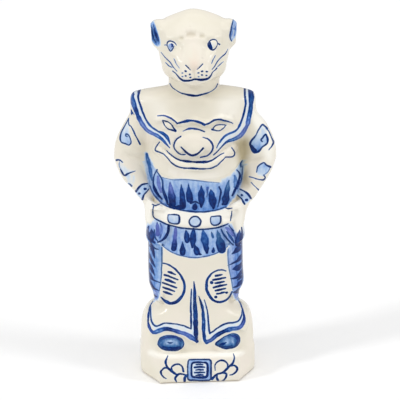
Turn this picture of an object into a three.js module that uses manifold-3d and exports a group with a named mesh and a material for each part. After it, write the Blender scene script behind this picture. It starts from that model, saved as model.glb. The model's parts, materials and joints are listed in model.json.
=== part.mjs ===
// A zodiac guardian: a tiger-headed figure in robe and armour, hands on its hips, on a low plinth.
// It is slip cast in porcelain as one piece, so the whole figure and its plinth are one solid.
// Millimetres, +Z up. The figure looks along -Y, and the origin is the middle of the plinth's underside.
import * as THREE from "three";
import { mergeVertices } from "three/addons/utils/BufferGeometryUtils.js";
import Module from "manifold-3d";

const wasm = await Module();
wasm.setup();

// Driving sizes
const PLINTH_WIDTH = 94;
const PLINTH_DEPTH = 70;
const PLINTH_HEIGHT = 23.5;
const CORNER_ACROSS = 14; // how far each cut corner reaches along the front
const CORNER_BACK = 24; // and how far it reaches back along the side
const PLINTH_EDGE = 1.8; // the soft edge round the plinth's top
const HEM_INSET = 0.6; // between the hem's widest place and the plinth's side
const TOE_ROOM = 8.5; // how much of the plinth lies free before the hem, for the toes
const HEEL_ROOM = 7;
const FIGURE_HEIGHT = 276.5; // from the plinth's top to the crown of the head
const SUNK = 4; // how far the figure runs down into the plinth
const CAPE_LIFT = 1.6; // how far each layer stands proud of the robe below it
const GUARD_LIFT = 1.4;
const BELT_LIFT = 2.2;
const APRON_LIFT = 1.3;
const TASSET_LIFT = 2.4;
const SASH_LIFT = 4.2;
const FLAP_LIFT = 1.5;
const FIGURE_TURN = 3; // degrees that the figure looks to its right of the plinth's front

// The figure keeps its proportions at any height. It was drawn at this height, and mm() turns a drawn
// length into a real one. Heights in the drawing are measured from the plinth's top.
const DRAWN_HEIGHT = 276.5;
const mm = (length) => (length * FIGURE_HEIGHT) / DRAWN_HEIGHT;
const drawn = (length) => (length * DRAWN_HEIGHT) / FIGURE_HEIGHT;

const ROUND_SIDES = 36; // sides of the robe's rings
const LIMB_SIDES = 12;
const TURN_REACH = 100; // the height over which the turn grows
const BALL_SIDES = 12;
const BEAD_SIDES = 10; // for small balls

// Solids and meshes

// A three.js geometry as a solid, after its shared vertices are merged.
function solid(geometry) {
  const plain = new THREE.BufferGeometry();
  const flat = geometry.index ? geometry : mergeVertices(geometry);
  plain.setAttribute("position", flat.getAttribute("position").clone());
  plain.setIndex(flat.index.clone());
  const merged = mergeVertices(plain, 1e-4);
  return new wasm.Manifold(
    new wasm.Mesh({
      numProp: 3,
      vertProperties: new Float32Array(merged.getAttribute("position").array),
      triVerts: new Uint32Array(merged.index.array),
    }),
  );
}

// A solid back as a three.js geometry.
function geometryOf(body) {
  const mesh = body.getMesh();
  return new THREE.BufferGeometry()
    .setAttribute("position", new THREE.BufferAttribute(mesh.vertProperties, 3))
    .setIndex(new THREE.BufferAttribute(mesh.triVerts, 1));
}

function joined(bodies) {
  return bodies.reduce((sum, body) => sum.add(body));
}

// The same geometry on the other side of the figure, its faces turned back outwards.
function mirrored(geometry) {
  const other = geometry.clone().applyMatrix4(new THREE.Matrix4().makeScale(-1, 1, 1));
  const index = other.index.array;
  for (let i = 0; i < index.length; i += 3) {
    [index[i + 1], index[i + 2]] = [index[i + 2], index[i + 1]];
  }
  return other;
}

function bothSides(geometry) {
  return [solid(geometry), solid(mirrored(geometry))];
}

// A skin over rings of equally many points, closed at both ends.
function loft(rings) {
  const sides = rings[0].length;
  const points = rings.flat();
  const faces = [];
  for (let level = 0; level + 1 < rings.length; level += 1) {
    for (let side = 0; side < sides; side += 1) {
      const next = (side + 1) % sides;
      const [a, b] = [level * sides + side, level * sides + next];
      const [c, d] = [a + sides, b + sides];
      faces.push(a, b, d, a, d, c);
    }
  }
  const middleOf = (ring) =>
    ring.reduce((sum, p) => sum.add(p), new THREE.Vector3()).divideScalar(sides);
  const first = points.push(middleOf(rings[0])) - 1;
  const last = points.push(middleOf(rings[rings.length - 1])) - 1;
  const top = (rings.length - 1) * sides;
  for (let side = 0; side < sides; side += 1) {
    const next = (side + 1) % sides;
    faces.push(first, next, side, last, top + side, top + next);
  }
  return new THREE.BufferGeometry().setFromPoints(points).setIndex(faces);
}

// Reads a table of stations at any place between them, along a smooth curve.
function between(stations) {
  const keys = stations.map((station) => station[0]);
  const size = stations[0].length - 1;
  const values = stations.flatMap((station) => station.slice(1));
  const curve = new THREE.CubicInterpolant(keys, values, size);
  return (key) => Array.from(curve.evaluate(key));
}

// Where a rounded oblong of unit half sizes passes at an angle; squareness 2 is an ellipse.
function oblong(angle, squareness) {
  const bend = (v) => Math.sign(v) * Math.abs(v) ** (2 / squareness);
  return [bend(Math.cos(angle)), bend(Math.sin(angle))];
}

// A front elevation, drawn in width and height, as a slab from one depth to another.
function slab(outline, fromY, toY) {
  const shape = new THREE.Shape(outline.map(([x, z]) => new THREE.Vector2(mm(x), mm(z))));
  const cut = new THREE.ExtrudeGeometry(shape, { depth: toY - fromY, bevelEnabled: false });
  return cut.rotateX(Math.PI / 2).translate(0, toY, PLINTH_HEIGHT);
}

// A smooth open line through a few points, as many points.
function curved(points, count) {
  return new THREE.SplineCurve(points.map(([x, z]) => new THREE.Vector2(x, z)))
    .getPoints(count)
    .map((p) => [p.x, p.y]);
}

// The right half of an arched line, drawn out from the middle, made whole.
function arched(half) {
  return [...half.slice(1).map(([x, z]) => [-x, z]).reverse(), ...half];
}

function mirroredOutline(outline) {
  return outline.map(([x, z]) => [-x, z]).reverse();
}

const NO_TURN = [0, 0, 0];

function ellipsoid([x, y, z], [across, deep, high], turn = NO_TURN, sides = BALL_SIDES) {
  const ball = new THREE.SphereGeometry(1, sides, Math.round(sides * 0.6));
  ball.scale(mm(across), mm(deep), mm(high));
  ball.rotateX(turn[0]).rotateY(turn[1]).rotateZ(turn[2]);
  ball.translate(mm(x), mm(y), PLINTH_HEIGHT + mm(z));
  return mergeVertices(ball.deleteAttribute("uv").deleteAttribute("normal"), 1e-4);
}

// A limb through stations of [x, y, z, half width, half depth], with round ends.
function limb(stations, sides = LIMB_SIDES, stepsPerStation = 2) {
  const path = new THREE.CatmullRomCurve3(
    stations.map(([x, y, z]) => new THREE.Vector3(mm(x), mm(y), PLINTH_HEIGHT + mm(z))),
  );
  const sizes = between(stations.map((s, i) => [i / (stations.length - 1), s[3], s[4]]));
  const count = (stations.length - 1) * stepsPerStation;
  const depthWay = new THREE.Vector3(0, 1, 0);
  const ringAt = (t, share, push) => {
    const along = path.getTangent(t);
    const across = new THREE.Vector3().crossVectors(depthWay, along).normalize();
    const deep = new THREE.Vector3().crossVectors(along, across);
    const middle = path.getPoint(t).addScaledVector(along, push);
    const [width, depth] = sizes(t).map((size) => mm(size) * share);
    return Array.from({ length: sides }, (_, i) => {
      const angle = (i / sides) * 2 * Math.PI;
      return middle
        .clone()
        .addScaledVector(across, width * Math.cos(angle))
        .addScaledVector(deep, depth * Math.sin(angle));
    });
  };
  const endBulge = (t) => mm(Math.min(...sizes(t))) * 0.5;
  const rings = [ringAt(0, 0.6, -endBulge(0))];
  for (let i = 0; i <= count; i += 1) {
    rings.push(ringAt(i / count, 1, 0));
  }
  rings.push(ringAt(1, 0.6, endBulge(1)));
  return loft(rings);
}

// The robe: rings from the plinth to the shoulders

// Half width, depth in front and depth behind, round the legs and at the hem, which fills the plinth
const LEGS = [36.5, 25.0, 23.0];
const HEM = [
  drawn(PLINTH_WIDTH / 2 - HEM_INSET),
  drawn(PLINTH_DEPTH / 2 - TOE_ROOM),
  drawn(PLINTH_DEPTH / 2 - HEEL_ROOM),
];
const flare = (share) => LEGS.map((size, i) => THREE.MathUtils.lerp(size, HEM[i], share));

// Height, half width, depth in front, depth behind, squareness
const ROBE = [
  [-SUNK, ...flare(1), 3.0],
  [8, ...flare(1), 3.0],
  [18, ...flare(0.94), 2.9],
  [25, ...flare(0.78), 2.8],
  [31, ...flare(0.43), 2.7],
  [37, ...flare(0.06), 2.6],
  [48, ...flare(0), 2.5],
  [66, 36.8, 24.8, 22.6, 2.5],
  [88, 36.6, 25.6, 22.6, 2.5],
  [108, 35.6, 27.2, 22.4, 2.4],
  [124, 35.8, 29.2, 22.2, 2.3],
  [144, 38.2, 31.2, 22.4, 2.3],
  [160, 38.6, 29.8, 22.6, 2.3],
  [176, 38.4, 27.0, 22.4, 2.3],
  [192, 40.0, 24.0, 20.6, 2.3],
  [202, 41.0, 21.4, 17.0, 2.3],
  [209, 36.0, 17.2, 12.0, 2.2],
];

// The shoulder cape, wide over both upper arms
const CAPE = [
  [150, 40.5, 29.0, 24.6, 2.3],
  [166, 42.0, 28.4, 25.4, 2.4],
  [180, 46.0, 26.4, 24.6, 2.6],
  [192, 49.4, 24.4, 22.0, 2.8],
  [202, 49.0, 22.8, 17.6, 2.8],
  [207.6, 49.0, 21.2, 13.6, 2.8],
  [210.8, 47.4, 18.8, 10.2, 2.6],
  [213.2, 38.0, 15.4, 7.6, 2.4],
  [216, 20.0, 12.0, 6.0, 2.1],
];

function ringAtLevel(profile, level, lift) {
  const [width, front, back, squareness] = profile(level);
  return Array.from({ length: ROUND_SIDES }, (_, i) => {
    const [across, deep] = oblong((i / ROUND_SIDES) * 2 * Math.PI, squareness);
    const depth = deep < 0 ? mm(front) : mm(back);
    return new THREE.Vector3(
      across * (mm(width) + lift),
      deep * (depth + lift),
      PLINTH_HEIGHT + mm(level),
    );
  });
}

function gown(stations, lift) {
  const profile = between(stations);
  return loft(stations.map(([level]) => ringAtLevel(profile, level, lift)));
}

const robeAt = between(ROBE);
const capeAt = between(CAPE);

// How far forward a gown's front is at a place across and up, as a drawn length.
function frontOf(profile, x, z) {
  const [width, front, , squareness] = profile(z);
  const share = Math.min(1, Math.abs(x) / width);
  return -front * (1 - share ** squareness) ** (1 / squareness);
}

// The beast's face lies on the cape in the middle, and on the belly guard below and beside it.
function chestAt(x, z) {
  const guard = frontOf(robeAt, x, z) - GUARD_LIFT;
  const onCape = z > 176 || Math.abs(x) < 17;
  return onCape ? Math.min(guard, frontOf(capeAt, x, z) - CAPE_LIFT) : guard;
}

// A layer of cloth or armour: the robe, made thicker, where the slab covers it.
function layer(outline, lift, fromY = -60, toY = 60) {
  return solid(gown(ROBE, lift)).intersect(
    solid(slab(outline, mm(fromY), mm(toY))),
  );
}

function plinth() {
  const [w, d] = [PLINTH_WIDTH / 2 - PLINTH_EDGE, PLINTH_DEPTH / 2 - PLINTH_EDGE];
  const outline = [
    [w - CORNER_ACROSS, -d],
    [w, -d + CORNER_BACK],
    [w, d - CORNER_BACK],
    [w - CORNER_ACROSS, d],
  ];
  const corners = [...outline, ...outline.map(([x, y]) => [-x, -y])];
  const shape = new THREE.Shape(corners.map(([x, y]) => new THREE.Vector2(x, y)));
  const rounded = new THREE.ExtrudeGeometry(shape, {
    depth: PLINTH_HEIGHT - 2 * PLINTH_EDGE,
    bevelThickness: PLINTH_EDGE,
    bevelSize: PLINTH_EDGE,
    bevelSegments: 3,
  }).translate(0, 0, PLINTH_EDGE);
  return solid(rounded);
}

// The cape's front edge falls from the shoulder to the beast's cheek and ends under its lip; behind,
// it hangs in one bow.
function cape() {
  const edge = [
    [56, 222],
    [55, 205],
    [49, 198],
    [44, 191.5],
    [38.5, 186],
    [31, 181.5],
    [25, 177],
    [20.5, 171],
    [17, 160],
  ];
  const front = [...edge, ...mirroredOutline(edge)];
  const bow = curved(arched([[0, 160], [20, 163], [40, 172], [54, 184]]), 14);
  const behind = [[-54, 222], ...bow, [54, 222]];
  const cloth = solid(gown(CAPE, CAPE_LIFT));
  return cloth
    .intersect(solid(slab(front, mm(-60), 0)))
    .add(cloth.intersect(solid(slab(behind, -mm(0.5), mm(60)))));
}

// The belly guard's smooth plate, above the gathered cloth of the waist.
function bellyGuard() {
  const rim = curved(arched([[0, 148], [20, 149.5], [34, 156], [41, 170]]), 14);
  return layer([...rim, [41, 190], [-41, 190]], GUARD_LIFT, -60, 0);
}

// The beast's face on the belly guard: brow, eyes, nose, and a long lip with a knob at each end.
function beastFace() {
  const onChest = (x, z, out) => [x, chestAt(x, z) - out, z];
  const along = (line, radius) =>
    limb(arched(line).map(([x, z]) => [...onChest(x, z, 0.2), radius, radius + 0.6]), 8, 3);
  const nose = ellipsoid(onChest(0, 176, -2.4), [15, 6.4, 9.2]);
  const bulb = ellipsoid(onChest(0, 172.6, -1.2), [8, 6.6, 7]);
  const wing = ellipsoid(onChest(9.8, 175.4, -2.4), [6.2, 5.8, 7.4], NO_TURN, BEAD_SIDES);
  const lip = along([[0, 158.6], [11, 160], [20, 164.2], [27.4, 169.4]], 3.1);
  const knob = ellipsoid(onChest(29.4, 170.4, -0.8), [4.8, 4, 5], NO_TURN, BEAD_SIDES);
  const brow = along([[0, 195], [9.4, 192.2], [20, 196.4], [30, 194.4]], 2.2);
  const eye = ellipsoid(onChest(20, 190, -0.8), [6, 2.4, 3], [0, 0.5, 0], BEAD_SIDES);
  return [...[nose, bulb, lip, brow].map(solid), ...[wing, knob, eye].flatMap(bothSides)];
}

// The belt hangs a little lower in front.
function belt() {
  const lower = curved(arched([[0, 107.5], [18, 109], [36, 112], [60, 113.5]]), 10);
  const upper = curved(arched([[0, 122], [18, 123], [36, 125], [60, 125]]), 10);
  return layer([...lower, ...upper.reverse()], BELT_LIFT);
}

// The apron of gathered cloth below the belt, and a lobe of the sash at each hip.
function apron() {
  const hem = curved(arched([[0, 83.5], [14, 85.5], [26, 91.5], [31, 96]]), 14);
  const cloth = layer([...hem, [31, 114], [-31, 114]], APRON_LIFT, -60, 0);
  const lobe = curved([[21.5, 113], [22.5, 104], [27, 94], [35, 90], [44, 95], [46, 113]], 12);
  return [
    cloth,
    layer([...lobe].reverse(), SASH_LIFT, -60, 6),
    layer(mirroredOutline([...lobe].reverse()), SASH_LIFT, -60, 6),
  ];
}

// The armour plates that hang over the hips, each ending in a blunt point.
function tassets() {
  const plate = [
    [27.5, 110],
    [27.5, 58],
    ...curved([[28, 50], [30.5, 42], [34, 38.5], [39, 42], [46, 52]], 8),
    [48, 110],
  ];
  return [
    layer([...plate].reverse(), TASSET_LIFT, -60, 12),
    layer(mirroredOutline([...plate].reverse()), TASSET_LIFT, -60, 12),
  ];
}

// The robe's two front flaps part below the thighs, and their hems arch over the boots.
function flaps() {
  const corner = HEM[0] - 4.9;
  const hem = [
    [1.8, 7.5],
    [8, 10.5],
    [18, 17.5],
    [27, 20.5],
    [corner - 8, 17],
    [corner - 3, 14.5],
    [corner, 21],
    [corner + 0.5, 30],
    [corner - 3.5, 39],
  ];
  const flap = [...curved(hem, 14), [34, 90], [-0.6, 90], [-0.6, 57], [1.8, 40]];
  return [
    layer([...flap].reverse(), FLAP_LIFT, -60, -2),
    layer(mirroredOutline([...flap].reverse()), FLAP_LIFT, -60, -2),
  ];
}

function boots() {
  return bothSides(ellipsoid([HEM[0] * 0.49, 4 - HEM[1], 5], [10.8, 9.6, 8.4], [0, 0, 0.12]));
}

// Arms akimbo: a full sleeve, a cuff, the hand flat on the hip and the thumb over the belt.
function arms() {
  const sleeve = limb([
    [33, 0, 202, 12, 13],
    [40.6, 0.5, 187, 12.8, 13.6],
    [49.2, 1, 171, 13.4, 13],
    [52, 0, 158, 13.2, 12.4],
    [46.4, -4, 144, 11.6, 11.4],
    [40.6, -7, 133, 9.8, 10.4],
  ]);
  const cuff = limb([
    [41.6, -6.4, 134.4, 9.4, 11],
    [39.6, -7.4, 130.6, 9.6, 11],
    [37.6, -8.4, 127.4, 8.6, 10],
  ], LIMB_SIDES, 1);
  const hand = limb([
    [38.6, -8.4, 126, 6.2, 8.4],
    [35.8, -9.4, 117, 5.8, 9.4],
    [35, -9.6, 109, 5.7, 9],
    [34.6, -9.6, 101.5, 4.6, 7],
  ], LIMB_SIDES, 1);
  const thumb = limb([
    [38.4, -14, 124, 3.8, 4],
    [34.4, -20, 123.4, 3.4, 3.8],
    [29, -25.5, 123.2, 2.8, 3.2],
  ], 8);
  return [sleeve, cuff, hand, thumb].flatMap(bothSides);
}

// The mould can't undercut the crook of the arm, so clay fills it, set back from the front.
function armWebs() {
  const web = [
    [30, 196],
    [46, 186],
    [52, 168],
    [52, 152],
    [42, 126],
    [30, 120],
  ];
  const fill = slab([...web].reverse(), mm(-12), mm(8));
  return bothSides(mergeVertices(fill.deleteAttribute("uv").deleteAttribute("normal"), 1e-4));
}

function neck() {
  const sides = 20;
  const column = [
    [200, 23.4, 21.6, 15],
    [212, 21.2, 20.2, 14.6],
    [218, 20.4, 18.6, 14.2],
    [229, 20, 16.4, 14],
  ];
  const rings = column.map(([z, width, front, back]) =>
    Array.from({ length: sides }, (_, i) => {
      const [across, deep] = oblong((i / sides) * 2 * Math.PI, 2.1);
      const depth = deep < 0 ? front : back;
      return new THREE.Vector3(mm(across * width), mm(deep * depth), PLINTH_HEIGHT + mm(z));
    }),
  );
  return solid(loft(rings));
}

// The skull, as rings across the head from behind to the nose. How far forward, middle height,
// half width, half height, squareness, and how much wider the ring's top is than its foot
const SKULL = [
  [-22.5, 247, 9, 9, 2.1, 0],
  [-19, 247.4, 18, 18.4, 2.3, 0.04],
  [-11, 247.8, 25.6, 26, 2.5, 0.08],
  [-2, 247.6, 28.2, 28.8, 2.6, 0.1],
  [6, 246.6, 27.8, 27.4, 2.6, 0.1],
  [13, 244.4, 25.6, 24.2, 2.5, 0.1],
  [19, 241.4, 21.8, 19.8, 2.4, 0.06],
  [24.5, 238, 17.8, 15.4, 2.4, 0],
  [29.5, 235, 14.4, 11.6, 2.4, -0.06],
  [33, 233.4, 10.8, 8.4, 2.3, -0.08],
  [34.8, 232.8, 5.8, 4.6, 2.1, 0],
];

function head() {
  const sides = 28;
  const rings = SKULL.map(([forward, middle, width, height, squareness, flare]) =>
    Array.from({ length: sides }, (_, i) => {
      const [across, up] = oblong((i / sides) * 2 * Math.PI, squareness);
      return new THREE.Vector3(
        mm(across * width * (1 + flare * up)),
        -mm(forward),
        PLINTH_HEIGHT + mm(middle + up * height),
      );
    }),
  );
  const cheek = ellipsoid([15.2, -9, 234], [10.4, 12.4, 10.4]);
  const lip = ellipsoid([7.4, -26, 230.8], [8.8, 8, 6], [0, 0, 0.3]);
  const brow = ellipsoid([12.6, -15.4, 258], [9, 5.4, 4], [0.4, 0.12, 0.25]);
  const eye = ellipsoid([15.2, -19, 252.4], [4.8, 4.2, 3.9], [0, 0, 0.5], BEAD_SIDES);
  return [solid(loft(rings)), ...[cheek, lip, brow, eye].flatMap(bothSides)];
}

// The ears grow out of the temples, hollowed on the side that faces out and forward.
function ears() {
  const lobe = limb([
    [24, 1, 245.4, 4, 6.6],
    [26.8, 0.5, 251, 6.2, 8],
    [27.4, 0.5, 258, 6.8, 8.4],
    [27.8, 1, 265.4, 6, 7],
  ], LIMB_SIDES, 1);
  const temple = ellipsoid([21.6, -0.5, 259.2], [12, 11.6, 10.6], [0, 0.1, 0]);
  const hollow = ellipsoid([34.8, -4, 257.4], [5.6, 7, 9], [0, 0.2, 0.5]);
  const hollowed = (side) => solid(side(lobe)).add(solid(side(temple))).subtract(solid(side(hollow)));
  return [hollowed((shape) => shape), hollowed(mirrored)];
}

// The figure stands square on its hem and turns a little from there up to the thighs.
function turned(geometry) {
  const spots = geometry.getAttribute("position");
  const point = new THREE.Vector3();
  const upright = new THREE.Vector3(0, 0, 1);
  for (let i = 0; i < spots.count; i += 1) {
    point.fromBufferAttribute(spots, i);
    const share = THREE.MathUtils.smoothstep(point.z, PLINTH_HEIGHT, PLINTH_HEIGHT + mm(TURN_REACH));
    point.applyAxisAngle(upright, -THREE.MathUtils.degToRad(FIGURE_TURN) * share);
    spots.setXYZ(i, point.x, point.y, point.z);
  }
  return geometry;
}

const figure = joined([
  plinth(),
  solid(gown(ROBE, 0)),
  cape(),
  bellyGuard(),
  ...beastFace(),
  belt(),
  ...apron(),
  ...tassets(),
  ...flaps(),
  ...boots(),
  ...armWebs(),
  ...arms(),
  neck(),
  ...head(),
  ...ears(),
]);

const glaze = new THREE.MeshStandardMaterial({ color: 0xf1ece0, roughness: 0.15, metalness: 0 });
const tiger = new THREE.Mesh(turned(geometryOf(figure)), glaze);
tiger.name = "tiger_figure";

const group = new THREE.Group();
group.add(tiger);
export default group;
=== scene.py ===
# %% [markdown]
# # A zodiac guardian in blue and white porcelain
#
# The real figure is about a foot tall. It was slip cast: liquid clay was poured into a plaster mould, and
# the shell that set against the plaster came out in one piece, plinth and all. A painter drew on the dry
# clay with cobalt, and a clear glaze went over everything before the firing.
#
# The lesson follows the same steps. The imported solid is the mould, with the true size and stance. A copy
# of it is carved further, its joints are softened as wet clay would be, the cobalt is brushed on, and
# last comes the glaze.

# %% The frame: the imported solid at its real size, in metres
import json
import math

import bmesh
import bpy
import numpy as np
from mathutils import Matrix, Vector
from mathutils.bvhtree import BVHTree
from mathutils.kdtree import KDTree

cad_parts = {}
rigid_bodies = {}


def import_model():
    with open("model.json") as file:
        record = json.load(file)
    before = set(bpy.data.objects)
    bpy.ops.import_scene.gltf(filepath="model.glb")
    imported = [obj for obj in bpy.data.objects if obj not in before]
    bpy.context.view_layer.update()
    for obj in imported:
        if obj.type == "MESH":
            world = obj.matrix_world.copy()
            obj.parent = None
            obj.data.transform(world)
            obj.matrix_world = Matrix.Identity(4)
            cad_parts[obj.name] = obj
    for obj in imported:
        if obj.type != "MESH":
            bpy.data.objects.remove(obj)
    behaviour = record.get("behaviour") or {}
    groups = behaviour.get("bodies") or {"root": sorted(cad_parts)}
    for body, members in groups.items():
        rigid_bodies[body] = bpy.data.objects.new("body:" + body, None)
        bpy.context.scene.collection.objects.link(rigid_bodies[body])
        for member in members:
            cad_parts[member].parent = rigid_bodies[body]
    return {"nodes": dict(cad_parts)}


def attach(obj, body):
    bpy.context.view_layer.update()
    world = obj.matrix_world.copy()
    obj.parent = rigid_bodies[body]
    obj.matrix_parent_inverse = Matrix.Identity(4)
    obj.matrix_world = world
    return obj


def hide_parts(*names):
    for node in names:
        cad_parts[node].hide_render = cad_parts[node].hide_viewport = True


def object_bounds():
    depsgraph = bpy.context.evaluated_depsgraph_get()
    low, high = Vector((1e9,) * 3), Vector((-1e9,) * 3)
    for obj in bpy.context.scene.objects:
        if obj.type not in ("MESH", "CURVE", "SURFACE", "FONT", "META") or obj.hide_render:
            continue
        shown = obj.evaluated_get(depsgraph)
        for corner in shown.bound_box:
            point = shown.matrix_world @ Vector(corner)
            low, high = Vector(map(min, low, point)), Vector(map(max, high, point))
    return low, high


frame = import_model()
cad_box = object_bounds()
MM = 0.001
mould = frame["nodes"]["tiger_figure"]
print("the mould's box in mm:", [[round(v / MM, 1) for v in corner] for corner in cad_box])

# %% [markdown]
# ## The camera
#
# The camera comes first, because the painting needs it as well: each brush stroke is noted where it shows
# in the picture, and a ray through the lens finds where it lies on the clay. The picture is 400 pixels
# square. The lens is long and a little above the figure, and looks down on it by 18 degrees.

# %% The camera at the picture's view
FRAME_PX = 400
FOCAL_PX = 1618.0
SENSOR_MM = 36.0
DISTANCE = 1.3
AIM = np.array([0.00352, 0.0, 0.14453])
AZIMUTH, ELEVATION, ROLL = np.radians([-3.0, 18.0, -0.6])


def camera_axes():
    """Which way the picture's right, its top and its near side point, as unit vectors."""
    level = math.cos(ELEVATION)
    near = np.array([math.sin(AZIMUTH) * level, -math.cos(AZIMUTH) * level, math.sin(ELEVATION)])
    right = np.array([math.cos(AZIMUTH), math.sin(AZIMUTH), 0.0])
    top = np.cross(near, right)
    turned_right = math.cos(ROLL) * right + math.sin(ROLL) * top
    return turned_right, np.cross(near, turned_right), near


right_way, up_way, near_way = camera_axes()
eye = AIM + DISTANCE * near_way
lens = bpy.data.cameras.new("picture_lens")
lens.sensor_width = SENSOR_MM
lens.lens = FOCAL_PX / FRAME_PX * SENSOR_MM
camera = bpy.data.objects.new("picture_camera", lens)
bpy.context.scene.collection.objects.link(camera)
turn = Matrix(np.stack([right_way, up_way, near_way], axis=1).tolist())
camera.matrix_world = Matrix.Translation(Vector(eye)) @ turn.to_4x4()
bpy.context.scene.camera = camera
print("focal length:", round(lens.lens, 1), "mm")
print("one picture pixel:", round(DISTANCE / FOCAL_PX / MM, 2), "mm")

# %% [markdown]
# ## Where the painter stands
#
# A stroke is drawn flat, as seen from some side, and then cast onto the clay. From the front the drawing
# is in pixels of the picture. From behind, from the sides and from above there is no picture, so there it
# is in millimetres, across and up, and the rays run parallel.

# %% Views: a flat drawing on one side, the clay on the other
class View:
    """A side that the figure is drawn from. With an eye the drawing is in pixels, without one in mm."""

    def __init__(self, right, up, near, view_eye=None):
        self.right, self.up, self.near = (np.array(way, float) for way in (right, up, near))
        self.eye = view_eye
        self.unit = MM if view_eye is None else DISTANCE / FOCAL_PX

    def rays(self, marks):
        """Start points and directions of the rays through flat marks."""
        marks = np.asarray(marks, float)
        if self.eye is None:
            across, high = marks[:, :1] * MM, marks[:, 1:] * MM
            starts = across * self.right + high * self.up + self.near
            return starts, np.broadcast_to(-self.near, starts.shape)
        across, down = (marks - FRAME_PX / 2).T[:, :, None] / FOCAL_PX
        ways = across * self.right - down * self.up - self.near
        return np.broadcast_to(self.eye, ways.shape), ways / np.linalg.norm(ways, axis=1, keepdims=True)

    def flat(self, points):
        """Where points of the figure show in the drawing."""
        if self.eye is None:
            return np.stack([points @ self.right, points @ self.up], axis=1) / MM
        off = points - self.eye
        scale = FOCAL_PX / -(off @ self.near)
        half = FRAME_PX / 2
        return np.stack([half + (off @ self.right) * scale, half - (off @ self.up) * scale], axis=1)

    def towards(self, points):
        """Unit vectors from points of the figure to the painter."""
        if self.eye is None:
            return np.broadcast_to(self.near, points.shape)
        off = self.eye - points
        return off / np.linalg.norm(off, axis=1, keepdims=True)


FRONT = View(right_way, up_way, near_way, eye)
BACK = View((-1, 0, 0), (0, 0, 1), (0, 1, 0))
SIDE_LEFT = View((0, -1, 0), (0, 0, 1), (-1, 0, 0))
SIDE_RIGHT = View((0, 1, 0), (0, 0, 1), (1, 0, 0))
TOP = View((1, 0, 0), (0, 1, 0), (0, 0, 1))
print("one drawing unit is", round(FRONT.unit / MM, 2), "mm in front and", BACK.unit / MM, "mm behind")


# %% Lines in a drawing and on the clay
def smooth_line(marks, step):
    """A Catmull-Rom curve through a few marks, as close marks. One that ends where it starts is a ring."""
    marks = np.array(marks, float)
    ring = len(marks) > 2 and np.allclose(marks[0], marks[-1])
    before = marks[-2] if ring else 2 * marks[0] - marks[1]
    after = marks[1] if ring else 2 * marks[-1] - marks[-2]
    knots = np.vstack([before, marks, after])
    pieces = []
    for first, second, third, fourth in zip(knots, knots[1:], knots[2:], knots[3:]):
        count = max(2, int(np.linalg.norm(third - second) / step) + 1)
        t = np.linspace(0, 1, count, endpoint=False)[:, None]
        slope = third - first
        bend = 2 * first - 5 * second + 4 * third - fourth
        twist = 3 * second - first - 3 * third + fourth
        pieces.append(0.5 * (2 * second + slope * t + bend * t**2 + twist * t**3))
    return np.vstack([*pieces, marks[-1:]])


def cast(surface, view, marks):
    """The places on a surface that flat marks fall on, with the surface's normals there."""
    starts, ways = view.rays(marks)
    places, normals, found = [], [], []
    for i, (start, way) in enumerate(zip(starts, ways)):
        place, normal, _, _ = surface.ray_cast(Vector(start), Vector(way))
        if place is not None:
            places.append(place)
            normals.append(normal)
            found.append(i)
    return np.array(places), np.array(normals), np.array(found, int)


print("a corner of three marks becomes", len(smooth_line([(0, 0), (10, 0), (10, 10)], 1)), "marks")

# %% [markdown]
# ## The body
#
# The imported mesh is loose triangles, so its copy is merged first. Its true edges are noted before the clay
# is rubbed: every inner corner, which is the foot of a step, and every outer corner that is nearly square.
# The flatter outer corners are only the facets of a round limb.

# %% A merged copy
VOXEL = 0.62 * MM


def select_only(piece):
    """Deselects everything, then makes one piece selected and active."""
    for other in bpy.context.view_layer.objects:
        other.select_set(False)
    piece.select_set(True)
    bpy.context.view_layer.objects.active = piece


def apply_modifier(piece, kind, **settings):
    """Adds one modifier with its settings and applies it."""
    select_only(piece)
    modifier = piece.modifiers.new(kind.lower(), kind)
    for name, value in settings.items():
        setattr(modifier, name, value)
    bpy.ops.object.modifier_apply(modifier=modifier.name)


figure = bpy.data.objects.new("painted_guardian", mould.data.copy())
bpy.context.scene.collection.objects.link(figure)
select_only(figure)
bpy.ops.object.mode_set(mode="EDIT")
bpy.ops.mesh.select_all(action="SELECT")
bpy.ops.mesh.remove_doubles(threshold=0.001 * MM)
bpy.ops.object.mode_set(mode="OBJECT")
print("merged:", len(figure.data.vertices), "points")

# %% Where the mould has true edges
INNER_CORNER = math.radians(-28)
OUTER_CORNER = math.radians(58)
form = bmesh.new()
form.from_mesh(figure.data)
sharp_marks = []
for edge in form.edges:
    if not INNER_CORNER < edge.calc_face_angle_signed(0) < OUTER_CORNER:
        one, other = (corner.co for corner in edge.verts)
        for share in np.linspace(0, 1, int(edge.calc_length() / VOXEL) + 2):
            sharp_marks.append(one.lerp(other, share))
form.free()
sharp_tree = KDTree(len(sharp_marks))
for number, mark in enumerate(sharp_marks):
    sharp_tree.insert(mark, number)
sharp_tree.balance()
print("marks along true edges:", len(sharp_marks))

# %% [markdown]
# ## Hands
#
# On the real figure the hands are smooth pads that taper towards the finger tips. Each is a roll of clay,
# laid over the belt's end and pressed on. A roll is a row of overlapping balls, and the remesh that
# follows joins them to the body as slip joins two pieces of clay. Each knot holds the place in the
# picture, how near it is to the eye, and the roll's half width in mm.

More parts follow.
